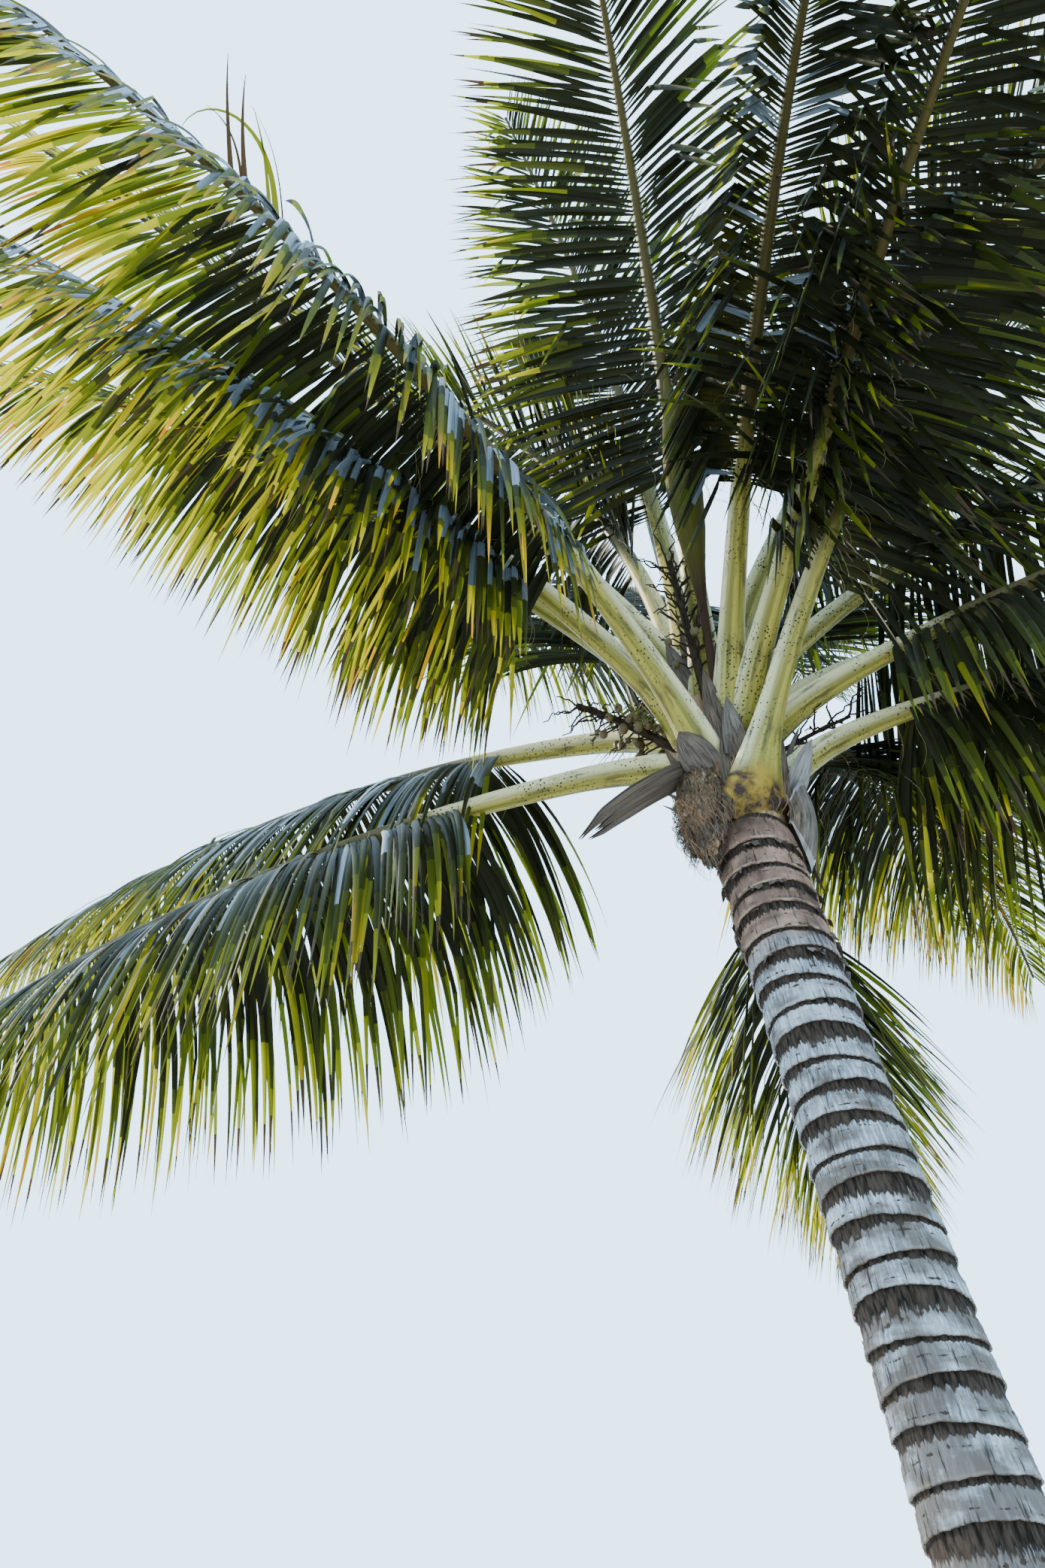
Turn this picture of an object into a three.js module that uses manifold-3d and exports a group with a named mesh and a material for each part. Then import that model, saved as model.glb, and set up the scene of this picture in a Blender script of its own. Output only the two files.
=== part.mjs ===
// Coconut palm: a leaning ringed trunk with a full crown of feather fronds.
// Millimetres and degrees. +Z is up, the flat cut under the trunk lies on Z = 0.

import * as THREE from 'three';
import { mergeVertices } from 'three/addons/utils/BufferGeometryUtils.js';
import Module from 'manifold-3d';

// Driving dimensions

// Trunk
const TRUNK_TOP = 4500; // height of the highest open leaf scar
const TRUNK_LEAN = 0.115; // sideways run toward -X for each unit of height
const TRUNK_RADIUS = 140; // at the crown
const TRUNK_FOOT_GAIN = 28; // how much wider it is low down, before the flare
const FLARE_GAIN = 85; // extra radius where it meets the ground
const FLARE_HEIGHT = 330; // the flare dies away over this height
const TRUNK_SIDES = 20;
const TRUNK_LEVELS = [0, 60, 140, 260, 420, 650, 950, 1400, 1950, 2550, 3150, 3750, 4500];

// Crown heart, the fibre-wrapped core that carries the fronds
const HEART_LEAN = 0.09;
const HEART_PROFILE = [ // height, radius
  [0, 135], [250, 165], [500, 150], [750, 110], [1000, 60], [1150, 35],
];
const HEART_SIDES = 16;
const GAP = 0.3; // clearance between touching pieces
const LIMB_GAP = 0.6; // the same, measured across a rib, where its skin may slant

// Every frond
const PETIOLE_SHARE = 0.24; // usual part of the length without leaflets
const FOOT_LIFT = 22; // a frond leaves the heart this much steeper
const FOOT_LIFT_SHARE = 0.14; // and has lost that after this part of its length
const STEEPEST_FOOT = 80;
const FOOT_STAND = 18; // the middle of a foot stands this far off the heart
const FOOT_WIDTH = 160; // clasping foot of the petiole
const PETIOLE_WIDTH = 112; // where the clasping foot ends
const BLADE_START_WIDTH = 78; // where the leaflets begin
const RIB_TIP_WIDTH = 13;
const FOOT_DEPTH = 74;
const BLADE_START_DEPTH = 52;
const RIB_TIP_DEPTH = 13;
const KEEL_SHARE = 0.6; // the underside of a petiole is narrower than its top
const LEAFLET_PAIRS = 14;
const LEAFLET_SHARE = 0.62; // part of its stretch of rib that a leaflet's root takes
const LEAFLET_SPREAD = 0.82; // widest width over the same stretch
const LEAFLET_THICKNESS = 12;
const LEAFLET_LENGTH = 1080; // the longest, in the inner third of the blade
const ROOT_SWEEP = 10; // forward angle of the first leaflets
const TIP_SWEEP = 57; // and of the last
const SPINE_STEPS = 48;
const PETIOLE_RINGS = 5;
const BLADE_STEPS = 6; // steps down a leaflet, with its corners at the middle one
const BLADE_MIDDLE = 3;
const FOOT_SINK = 0.8; // a foot starts this part of the heart's radius inside it
const FOOT_DROP = 0.6; // and this share of that lower
const FOOT_RUN = 450; // the clasping foot narrows over this length
const RIB_TAPER = 0.75; // power of the rib's taper along the blade
const FIRST_LEAFLET = 0.75; // share of the longest leaflet at the start of the blade
const LEAFLET_RISE = 2; // how fast the share reaches the longest
const LEAFLET_LOSS = 0.72; // share lost at the tip of the frond
const LEAFLET_LOSS_POWER = 2.4;
const HANG_POWER = 1.3; // how late along a leaflet its droop comes
const PROBE_GROWTH = 0.5; // clearance tested round a leaflet
const OFF_RIB = 0.25; // a leaflet is tested against its own rib from this far out to its middle
const REACH_TRIES = [1, 0.85, 0.7, 0.55, 0.4];

// Small pieces of the crown. azimuth, rise and fall are as for the fronds, and h is the
// height of the root above the trunk.
const SPEAR_PROFILE = [[1150 + GAP, 33], [1700, 37], [2500, 24], [3400, 4]];
const SPATHE = { azimuth: 258, h: 400, rise: 59, fall: 1, length: 1620 };
const SPATHE_RADII = [20, 18, 17, 16, 18, 34, 56, 68, 66, 48, 24, 4];
const SPATHE_FLATNESS = 0.75;
const FLOWER_BUNCH = {
  azimuth: 245, h: 480, rise: 60, fall: -6, length: 760,
  thick: 22, twigs: 8, spread: 130, droop: 0.5, nutEvery: 4, nut: 20,
};
const FRUIT_BUNCH = {
  azimuth: 178, h: 330, rise: 52, fall: 24, length: 640,
  thick: 24, twigs: 8, spread: 120, droop: -0.4, nutEvery: 2, nut: 24,
};
const DRY_TWIGS = {
  azimuth: 352, h: 330, rise: 38, fall: 14, length: 480,
  thick: 14, twigs: 6, spread: 150, droop: 0.2, nutEvery: 1, nut: 0,
};
const STRAP = {
  azimuth: 205, h: 360, rise: -40, fall: 15, length: 850,
  width: 115, thickness: 12, twist: -45,
};
const TWIG_RADII = [9, 7, 4];
const TWIG_TURN = 137.5; // each twig leaves its stalk this much further round
const STRAP_SHAPE = [0.7, 0.8, 0.95, 1, 1, 0.85, 0.3]; // share of its width at each station
const FIBRE_MAT = {
  from: 160, to: 246, steps: 8, top: 320, middle: 60, bottom: -160, flare: 0, belly: 75,
  standOff: 26, thickness: 34,
};
const LEAF_BOOT = {
  from: 312, to: 384, steps: 7, top: 230, middle: 20, bottom: -180, flare: 55, belly: 35,
  standOff: 6, thickness: 22,
};
const PLATE_SINK = 10; // the inside of a plate's top lies this deep in the heart
const PLATE_LIP = 14; // a plate is this much thicker along its top
const PLATE_END = 0.08; // its ends are as high as at this share of its run
const STALK_ROOT = 0.4; // share of the heart's radius at which a stalk starts
const STALK_STEPS = 5;
const STALK_TIP = 0.5; // a bunch's stalk is this much of its thickness at the tip
const TWIG_ROOTS = [0.35, 0.98]; // shares of a stalk between which its twigs leave it
const TWIG_KNEE = 0.55; // share of a twig at which it bends
const TWIG_KNEE_RISE = 0.15; // and how far it stands up there, as a share of its spread
const TWIG_LEAN = 0.5; // how far twigs lean the stalk's way, as a share of their spread

// One row for each frond, lowest foot first. azimuth is counter-clockwise from +X and
// rise from the level. fall is what the rib loses of its rise toward the tip, bend how
// late it loses it, and sweep how far it swings sideways. foot is the height of its
// foot above the trunk. roll turns the blade about its rib, fold lowers both rows of
// leaflets, and hang is how strongly they droop. petiole is the part of its length
// without leaflets. seat turns the foot round the heart and clasp widens it. What a row
// leaves out is as in the usual frond.
const USUAL_FROND = {
  bend: 1.3, sweep: 0, length: 3700, petiole: PETIOLE_SHARE, roll: 0, fold: 10, hang: 0.6,
  rootSweep: ROOT_SWEEP, leaflet: LEAFLET_LENGTH, clasp: 0,
};
const FRONDS = [
  {
    azimuth: 305, rise: 60, fall: 65, bend: 1.5, sweep: 5, length: 3750, foot: 60,
    hang: 1.0, seat: 280, clasp: 120,
  },
  { azimuth: 75, rise: 20, fall: 50, sweep: -10, foot: 160, fold: 35, hang: 1.2, rootSweep: 20 },
  { azimuth: 50, rise: 55, fall: 65, sweep: 10, length: 3750, foot: 200, fold: 20, hang: 2.5 },
  {
    azimuth: 350, rise: 30, fall: 80, bend: 1.1, sweep: 10, length: 3600, foot: 250,
    petiole: 0.16, roll: -20, fold: 35, hang: 3.0, rootSweep: -20, leaflet: 1180,
  },
  {
    azimuth: 225, rise: 40, fall: 65, foot: 300,
    roll: 38, fold: 25, hang: 1.6, rootSweep: -15,
  },
  {
    azimuth: 165, rise: 0, fall: 40, bend: 1.2, length: 3650, foot: 380,
    roll: 20, fold: 30, hang: 2.8, rootSweep: -20, leaflet: 1200,
  },
  { azimuth: 40, rise: 45, fall: 70, bend: 1.4, sweep: 20, foot: 400, fold: 15, hang: 2.0 },
  { azimuth: 290, rise: 40, fall: 30, sweep: -5, foot: 420, hang: 0.8, rootSweep: -5, leaflet: 950 },
  {
    azimuth: 335, rise: 20, fall: 55, length: 3650, foot: 450,
    petiole: 0.16, roll: -20, fold: 30, hang: 2.5, rootSweep: -15,
  },
  {
    azimuth: 205, rise: 45, fall: 60, bend: 1.0, sweep: 10, length: 3800, foot: 450,
    roll: 38, fold: 25, hang: 1.6, rootSweep: -15,
  },
  { azimuth: 275, rise: 50, fall: 40, sweep: 5, foot: 460, hang: 0.7, rootSweep: -5, leaflet: 950 },
  {
    azimuth: 150, rise: 25, fall: 45, bend: 1.1, sweep: 5, length: 3650, foot: 550,
    roll: 20, fold: 30, hang: 2.8, rootSweep: -20, leaflet: 1250,
  },
  { azimuth: 15, rise: 50, fall: 65, bend: 1.2, length: 3650, foot: 560, fold: 20, hang: 2.0 },
  {
    azimuth: 190, rise: 45, fall: 45, sweep: 5, foot: 620,
    roll: 20, fold: 20, hang: 1.8, leaflet: 950,
  },
  { azimuth: 120, rise: 70, fall: 35, sweep: 5, foot: 620, fold: 15, hang: 1.5 },
  {
    azimuth: 345, rise: 45, fall: 60, length: 3650, foot: 660,
    roll: -20, fold: 20, hang: 1.5, rootSweep: -10,
  },
  {
    azimuth: 260, rise: 60, fall: 45, sweep: -5, foot: 700,
    roll: 20, fold: 5, rootSweep: -5, leaflet: 850,
  },
  { azimuth: 60, rise: 70, fall: 50, length: 3600, foot: 720, fold: 8 },
  {
    azimuth: 200, rise: 50, fall: 35, bend: 1.2, sweep: 10, length: 3800, foot: 800,
    roll: 20, fold: 20, hang: 1.5,
  },
  { azimuth: 320, rise: 60, fall: 30, length: 3650, foot: 800, fold: 5 },
  { azimuth: 20, rise: 75, fall: 50, length: 3500, foot: 850, fold: 8 },
  { azimuth: 350, rise: 70, fall: 45, length: 3550, foot: 900, fold: 8 },
  {
    azimuth: 185, rise: 85, fall: 60, bend: 1.2, sweep: 5, length: 2900, foot: 920,
    hang: 0.8, leaflet: 850,
  },
  { azimuth: 100, rise: 75, fall: 45, length: 3500, foot: 950, fold: 8 },
  { azimuth: 235, rise: 85, fall: 40, length: 3500, foot: 980, fold: 5, hang: 0.5, leaflet: 900 },
].map((row) => ({ ...USUAL_FROND, ...row }));

// Small helpers

const UP = new THREE.Vector3(0, 0, 1);
const rad = THREE.MathUtils.degToRad;
const clamp = THREE.MathUtils.clamp;
const lerp = THREE.MathUtils.lerp;
const vec = (x, y, z) => new THREE.Vector3(x, y, z);
const mixed = (a, b, share) => a.clone().lerp(b, share);
const onCircle = (degrees) => vec(Math.cos(rad(degrees)), Math.sin(rad(degrees)), 0);

// Value at x on a line through [x, value] points
function along(points, x) {
  let i = 1;
  while (i < points.length - 1 && x > points[i][0]) i += 1;
  const [x0, y0] = points[i - 1];
  const [x1, y1] = points[i];
  return lerp(y0, y1, clamp((x - x0) / (x1 - x0), 0, 1));
}

// Solids

const wasm = await Module();
wasm.setup();

const withBox = (solid) => ({ solid, box: solid.boundingBox() });

function boxesMeet(a, b) {
  return [0, 1, 2].every((k) => a.min[k] <= b.max[k] && b.min[k] <= a.max[k]);
}

function touches(solid, obstacles) {
  const box = solid.boundingBox();
  return obstacles.some((other) => boxesMeet(box, other.box) && !solid.intersect(other.solid).isEmpty());
}

// A closed solid from corner points and triangles
function solidOf(points, triangles) {
  const vertProperties = new Float32Array(points.flatMap((p) => [p.x, p.y, p.z]));
  const triVerts = new Uint32Array(triangles);
  return new wasm.Manifold(new wasm.Mesh({ numProp: 3, vertProperties, triVerts }));
}

function geometryOf(solid, origin) {
  const mesh = solid.getMesh();
  const position = new Float32Array(mesh.numVert * 3);
  for (let i = 0; i < mesh.numVert; i += 1) {
    for (let k = 0; k < 3; k += 1) {
      position[3 * i + k] = mesh.vertProperties[mesh.numProp * i + k] - origin.getComponent(k);
    }
  }
  const geometry = new THREE.BufferGeometry();
  geometry.setAttribute('position', new THREE.BufferAttribute(position, 3));
  geometry.setIndex(new THREE.BufferAttribute(new Uint32Array(mesh.triVerts), 1));
  return geometry;
}

// The largest body of a solid that a cut may have left in pieces
function largestBody(solid) {
  return solid.decompose().reduce((a, b) => (a.volume() >= b.volume() ? a : b));
}

// A skin over rings of points of equal count, closed by a fan at both ends. Each ring
// runs counter-clockwise as seen from the end toward which the rings advance.
function loft(rings) {
  const sides = rings[0].length;
  const points = rings.flat();
  const triangles = [];
  for (let r = 0; r + 1 < rings.length; r += 1) {
    for (let s = 0; s < sides; s += 1) {
      const a = r * sides + s;
      const b = r * sides + ((s + 1) % sides);
      triangles.push(a, b, b + sides, a, b + sides, a + sides);
    }
  }
  const last = (rings.length - 1) * sides;
  for (let s = 1; s + 1 < sides; s += 1) {
    triangles.push(0, s + 1, s);
    triangles.push(last, last + s, last + s + 1);
  }
  return solidOf(points, triangles);
}

// A tapering limb of a few sides through path points, with a radius at each
function limb(path, radii, sides, flatness = 1) {
  const rings = path.map((point, i) => {
    const from = path[Math.max(i - 1, 0)];
    const to = path[Math.min(i + 1, path.length - 1)];
    const forward = to.clone().sub(from).normalize();
    const reference = Math.abs(forward.z) > 0.95 ? vec(0, 1, 0) : UP;
    const side = forward.clone().cross(reference).normalize();
    const top = side.clone().cross(forward);
    return Array.from({ length: sides }, (_, s) => {
      const angle = (2 * Math.PI * s) / sides;
      return point.clone()
        .addScaledVector(side, -radii[i] * Math.cos(angle))
        .addScaledVector(top, radii[i] * flatness * Math.sin(angle));
    });
  });
  return loft(rings);
}

// Trunk

const trunkAxis = (z) => vec(-TRUNK_LEAN * z, 0, z);

function trunkRadius(z) {
  const low = 1 - clamp(z / TRUNK_TOP, 0, 1);
  return TRUNK_RADIUS + TRUNK_FOOT_GAIN * low * low + FLARE_GAIN * Math.exp(-3 * (z / FLARE_HEIGHT) ** 1.2);
}

function levelRing(centre, radius, sides) {
  return Array.from({ length: sides }, (_, s) => {
    const angle = (360 * s) / sides;
    return onCircle(angle).multiplyScalar(radius).add(centre);
  });
}

// grow widens the trunk and raises its top
function makeTrunk(grow) {
  return loft(TRUNK_LEVELS.map((z) => {
    const centre = trunkAxis(z).addScaledVector(UP, z === TRUNK_TOP ? grow : 0);
    return levelRing(centre, trunkRadius(z) + grow, TRUNK_SIDES);
  }));
}

// Crown heart

const crownBase = trunkAxis(TRUNK_TOP);
const heartAxis = (h) => crownBase.clone().add(vec(-HEART_LEAN * h, 0, h));
const heartRadius = (h) => along(HEART_PROFILE, h);

function makeHeart(grow) {
  const levels = HEART_PROFILE.map(([h, radius], i) => {
    const end = i === HEART_PROFILE.length - 1 ? grow : 0;
    const start = i === 0 && grow === 0 ? GAP : 0;
    return levelRing(heartAxis(h + end + start), radius + grow, HEART_SIDES);
  });
  return loft(levels);
}

// Fronds

const seatOf = (frond) => onCircle(frond.seat ?? frond.azimuth);

// The rib as points with a forward, an across (to its right) and a top direction
function spineOf(frond) {
  const start = heartAxis(frond.foot).addScaledVector(seatOf(frond), heartRadius(frond.foot) + FOOT_STAND);
  const step = frond.length / SPINE_STEPS;
  const mostLift = clamp(STEEPEST_FOOT - frond.rise, 0, FOOT_LIFT);
  const spine = [];
  const point = start.clone();
  for (let i = 0; i <= SPINE_STEPS; i += 1) {
    const u = clamp((i - 0.5) / SPINE_STEPS, 0, 1);
    const lift = mostLift * Math.max(0, 1 - u / FOOT_LIFT_SHARE) ** 2;
    const pitch = rad(frond.rise + lift - frond.fall * u ** frond.bend);
    const heading = frond.azimuth + frond.sweep * u;
    const forward = onCircle(heading).multiplyScalar(Math.cos(pitch)).addScaledVector(UP, Math.sin(pitch));
    if (i > 0) point.addScaledVector(forward, step);
    const across = onCircle(heading - 90);
    spine.push({ point: point.clone(), forward, across, top: across.clone().cross(forward) });
  }
  return spine;
}

function spineAt(spine, u) {
  const k = clamp(u, 0, 1) * SPINE_STEPS;
  const i = Math.min(Math.floor(k), SPINE_STEPS - 1);
  const next = spine[i + 1];
  return {
    point: mixed(spine[i].point, next.point, k - i),
    forward: mixed(spine[i].forward, next.forward, k - i).normalize(),
    across: next.across,
    top: mixed(spine[i].top, next.top, k - i).normalize(),
  };
}

// Share of the whole length at v, a share of the blade's
const bladeAt = (frond, v) => frond.petiole + (1 - frond.petiole) * v;

// A size of the rib at u, from its values at the foot, where the blade starts and at the tip
function taper(frond, u, foot, bladeStart, tip) {
  if (u < frond.petiole) return lerp(foot, bladeStart, u / frond.petiole);
  return lerp(bladeStart, tip, ((u - frond.petiole) / (1 - frond.petiole)) ** RIB_TAPER);
}

function ribWidth(frond, u) {
  const footShare = Math.max(0, 1 - (u * frond.length) / FOOT_RUN) ** 2;
  const foot = (FOOT_WIDTH + frond.clasp - PETIOLE_WIDTH) * footShare;
  return foot + taper(frond, u, PETIOLE_WIDTH, BLADE_START_WIDTH, RIB_TIP_WIDTH);
}

function ribDepth(frond, u) {
  return taper(frond, u, FOOT_DEPTH, BLADE_START_DEPTH, RIB_TIP_DEPTH);
}

// Four corners of the rib: top right, bottom right, bottom left, top left, as seen
// from the foot
function ribRing(frond, spine, u, grow) {
  const at = spineAt(spine, u);
  const half = ribWidth(frond, u) / 2 + grow;
  const up = ribDepth(frond, u) / 2 + grow;
  const keel = half * KEEL_SHARE;
  const corner = (side, rise) => (
    at.point.clone().addScaledVector(at.across, side).addScaledVector(at.top, rise)
  );
  return [corner(half, up), corner(keel, -up), corner(-keel, -up), corner(-half, up)];
}

// Share of the longest leaflet at v, from the first leaflet (0) to the last (1)
function leafletShare(v) {
  return Math.min(1, FIRST_LEAFLET + LEAFLET_RISE * v) * (1 - LEAFLET_LOSS * v ** LEAFLET_LOSS_POWER);
}

// Points down the middle of one leaflet. side is 1 on the right of the rib and -1 on
// its left. A leaflet leaves the rib by roll, fold and sweep, and then droops.
function leafletPath(frond, spine, v, side, steps, reach) {
  const at = spineAt(spine, bladeAt(frond, v));
  const tilt = rad(frond.roll * side - frond.fold);
  const sweep = rad(lerp(frond.rootSweep, TIP_SWEEP, v));
  const leave = at.across.clone().multiplyScalar(side * Math.cos(tilt))
    .addScaledVector(at.top, Math.sin(tilt))
    .multiplyScalar(Math.cos(sweep))
    .addScaledVector(at.forward, Math.sin(sweep))
    .normalize();
  const length = frond.leaflet * leafletShare(v) * reach;
  const point = at.point.clone();
  const path = [{ point: point.clone(), direction: leave }];
  for (let i = 0; i < steps; i += 1) {
    const s = (i + 0.5) / steps;
    const direction = leave.clone().addScaledVector(UP, -frond.hang * s ** HANG_POWER).normalize();
    point.addScaledVector(direction, length / steps);
    path.push({ point: point.clone(), direction });
  }
  return { path, forward: at.forward };
}

// The four corners across the middle of a leaflet, and its tip. grow widens it.
function bladeShape(frond, spine, v, side, reach, grow) {
  const { path, forward } = leafletPath(frond, spine, v, side, BLADE_STEPS, reach);
  const middle = path[BLADE_MIDDLE];
  const end = path[BLADE_STEPS];
  const stretch = (frond.length * (1 - frond.petiole)) / LEAFLET_PAIRS;
  const wide = forward.clone().addScaledVector(middle.direction, -forward.dot(middle.direction));
  const half = (stretch * LEAFLET_SPREAD * wide.length()) / 2 + grow;
  wide.normalize();
  const normal = middle.direction.clone().cross(wide).normalize();
  const thick = LEAFLET_THICKNESS / 2 + grow;
  const corner = (w, n) => middle.point.clone().addScaledVector(wide, w).addScaledVector(normal, n);
  const ring = [corner(-half, thick), corner(-half, -thick), corner(half, -thick), corner(half, thick)];
  return { middle: ring, tip: end.point.clone().addScaledVector(end.direction, grow) };
}

// The two ends of the stretch of rib that leaflet i takes
function rootSpan(frond, i) {
  const v = (i + 0.5) / LEAFLET_PAIRS;
  const half = LEAFLET_SHARE / 2 / LEAFLET_PAIRS;
  return { v, from: bladeAt(frond, v - half), to: bladeAt(frond, v + half) };
}

// A leaflet on its own, from a share of its length off the rib, used to test what it
// would touch
function probeBlade(frond, spine, i, side, reach, offRib) {
  const span = rootSpan(frond, i);
  const shape = bladeShape(frond, spine, span.v, side, reach, PROBE_GROWTH);
  const rear = ribRing(frond, spine, span.from, PROBE_GROWTH);
  const front = ribRing(frond, spine, span.to, PROBE_GROWTH);
  const root = side > 0 ? [rear[0], rear[1], front[1], front[0]] : [rear[2], rear[3], front[3], front[2]];
  const points = [...root.map((p, k) => mixed(p, shape.middle[k], offRib)), ...shape.middle, shape.tip];
  const faces = [0, 2, 1, 0, 3, 2];
  for (let a = 0; a < 4; a += 1) {
    const b = (a + 1) % 4;
    faces.push(a, b, b + 4, a, b + 4, a + 4, a + 4, b + 4, 8);
  }
  return solidOf(points, faces);
}

// First ring of a limb, sunk toward the middle of the heart
function footInside(frond, spine, grow) {
  const sink = FOOT_SINK * heartRadius(frond.foot) + 3 * grow;
  const back = seatOf(frond).multiplyScalar(-sink).addScaledVector(UP, -FOOT_DROP * sink);
  return ribRing(frond, spine, 0, grow).map((p) => p.add(back));
}

// Where the rib's rings stand along its length, and which leaflets start at a ring
function ribStations(frond) {
  const stations = [];
  const bladeStart = rootSpan(frond, 0).from;
  for (let i = 0; i < PETIOLE_RINGS; i += 1) stations.push({ u: (bladeStart * i) / PETIOLE_RINGS });
  for (let i = 0; i < LEAFLET_PAIRS; i += 1) {
    const span = rootSpan(frond, i);
    stations.push({ u: span.from, leaflet: i }, { u: span.to });
  }
  stations.push({ u: 1 });
  return stations;
}

// The limb of a frond with no leaflets
function bareLimb(frond, spine, grow) {
  const rings = ribStations(frond).map(({ u }) => ribRing(frond, spine, u, grow));
  return loft([footInside(frond, spine, grow), ...rings]);
}

// The whole frond as one skin: the rings of the rib, with a leaflet grown out of its
// side wherever the reach isn't 0. The rib between two leaflets stays bare.
function frondSkin(frond, spine, reaches) {
  const points = [];
  const triangles = [];
  const add = (ring) => ring.map((p) => points.push(p) - 1);
  const quad = (a, b, c, d) => triangles.push(a, b, c, a, c, d);
  const rings = [{ corners: add(footInside(frond, spine, 0)) }];
  for (const { u, leaflet } of ribStations(frond)) {
    rings.push({ corners: add(ribRing(frond, spine, u, 0)), leaflet });
  }

  const growLeaflet = (root, side, i) => {
    const shape = bladeShape(frond, spine, rootSpan(frond, i).v, side, reaches[i][side], 0);
    const middle = add(shape.middle);
    const tip = points.push(shape.tip) - 1;
    for (let a = 0; a < 4; a += 1) {
      const b = (a + 1) % 4;
      quad(root[a], root[b], middle[b], middle[a]);
      triangles.push(middle[a], middle[b], tip);
    }
  };
  for (let r = 0; r + 1 < rings.length; r += 1) {
    const a = rings[r].corners;
    const b = rings[r + 1].corners;
    const i = rings[r].leaflet;
    for (let s = 0; s < 4; s += 1) {
      const t = (s + 1) % 4;
      const side = { 0: 1, 2: -1 }[s];
      if (i !== undefined && side && reaches[i][side] > 0) growLeaflet([a[s], a[t], b[t], b[s]], side, i);
      else quad(a[s], a[t], b[t], b[s]);
    }
  }
  const first = rings[0].corners;
  const last = rings[rings.length - 1].corners;
  quad(first[3], first[2], first[1], first[0]);
  quad(last[0], last[1], last[2], last[3]);
  return solidOf(points, triangles);
}

// How far each leaflet of a frond can reach without touching anything: its whole
// length, a part of it, or 0 where even that would touch
function leafletReaches(frond, spine, ownLimb, obstacles) {
  const reaches = [];
  for (let i = 0; i < LEAFLET_PAIRS; i += 1) {
    const reach = {};
    for (const side of [1, -1]) {
      reach[side] = 0;
      for (const share of REACH_TRIES) {
        const probe = probeBlade(frond, spine, i, side, share, 0);
        const outer = probeBlade(frond, spine, i, side, share, OFF_RIB);
        if (touches(outer, [ownLimb]) || touches(probe, obstacles)) continue;
        reach[side] = share;
        obstacles.push(withBox(probe));
        break;
      }
    }
    reaches.push(reach);
  }
  return reaches;
}

// Small pieces of the crown

// Unopened leaf that stands on top of the heart
function makeSpear() {
  return loft(SPEAR_PROFILE.map(([h, radius]) => levelRing(heartAxis(h), radius, 6)));
}

// A point at a distance from the heart's axis, by azimuth and height above the trunk
const besideHeart = (azimuth, radius, h) => heartAxis(h).addScaledVector(onCircle(azimuth), radius);

// A run from inside the heart that bends up or down along its length
function stalkPath({ azimuth, h, rise, fall, length, steps }) {
  const point = besideHeart(azimuth, STALK_ROOT * heartRadius(h), h);
  const path = [point.clone()];
  for (let i = 0; i < steps; i += 1) {
    const u = (i + 0.5) / steps;
    const pitch = rad(rise - fall * u);
    point.addScaledVector(onCircle(azimuth), (length / steps) * Math.cos(pitch));
    point.addScaledVector(UP, (length / steps) * Math.sin(pitch));
    path.push(point.clone());
  }
  return path;
}

// Green boat-shaped flower sheath on its stalk, still closed
function makeSpathe(grow) {
  const path = stalkPath({ ...SPATHE, steps: SPATHE_RADII.length - 1 });
  return limb(path, SPATHE_RADII.map((radius) => radius + grow), 8, SPATHE_FLATNESS);
}

// A stalk with thin branchlets and small nuts fused on
function makeBunch(bunch, grow) {
  const stalk = stalkPath({ ...bunch, steps: STALK_STEPS });
  const thickness = stalk.map((_, i) => bunch.thick * lerp(1, STALK_TIP, i / STALK_STEPS) + grow);
  let solid = limb(stalk, thickness, 6);
  for (let i = 0; i < bunch.twigs; i += 1) {
    const share = lerp(...TWIG_ROOTS, i / (bunch.twigs - 1));
    const k = share * STALK_STEPS;
    const root = mixed(stalk[Math.floor(k)], stalk[Math.floor(k) + 1], k % 1);
    const turn = TWIG_TURN * i;
    const spread = onCircle(turn).addScaledVector(UP, bunch.droop).multiplyScalar(bunch.spread);
    const lean = onCircle(bunch.azimuth).multiplyScalar(TWIG_LEAN * bunch.spread);
    const tip = root.clone().add(spread).add(lean);
    const middle = mixed(root, tip, TWIG_KNEE).addScaledVector(UP, TWIG_KNEE_RISE * bunch.spread);
    solid = solid.add(limb([root, middle, tip], TWIG_RADII.map((radius) => radius + 2 * grow), 3));
    if (bunch.nut > 0 && i % bunch.nutEvery === 0) solid = solid.add(nutAt(middle, bunch.nut + grow));
  }
  return solid;
}

function nutAt(centre, radius) {
  const ball = new THREE.IcosahedronGeometry(radius, 0);
  ball.deleteAttribute('normal');
  ball.deleteAttribute('uv');
  const merged = mergeVertices(ball);
  const position = merged.getAttribute('position');
  const points = Array.from({ length: position.count }, (_, i) => (
    vec(position.getX(i), position.getY(i), position.getZ(i)).add(centre)
  ));
  return solidOf(points, [...merged.index.array]);
}

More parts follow.
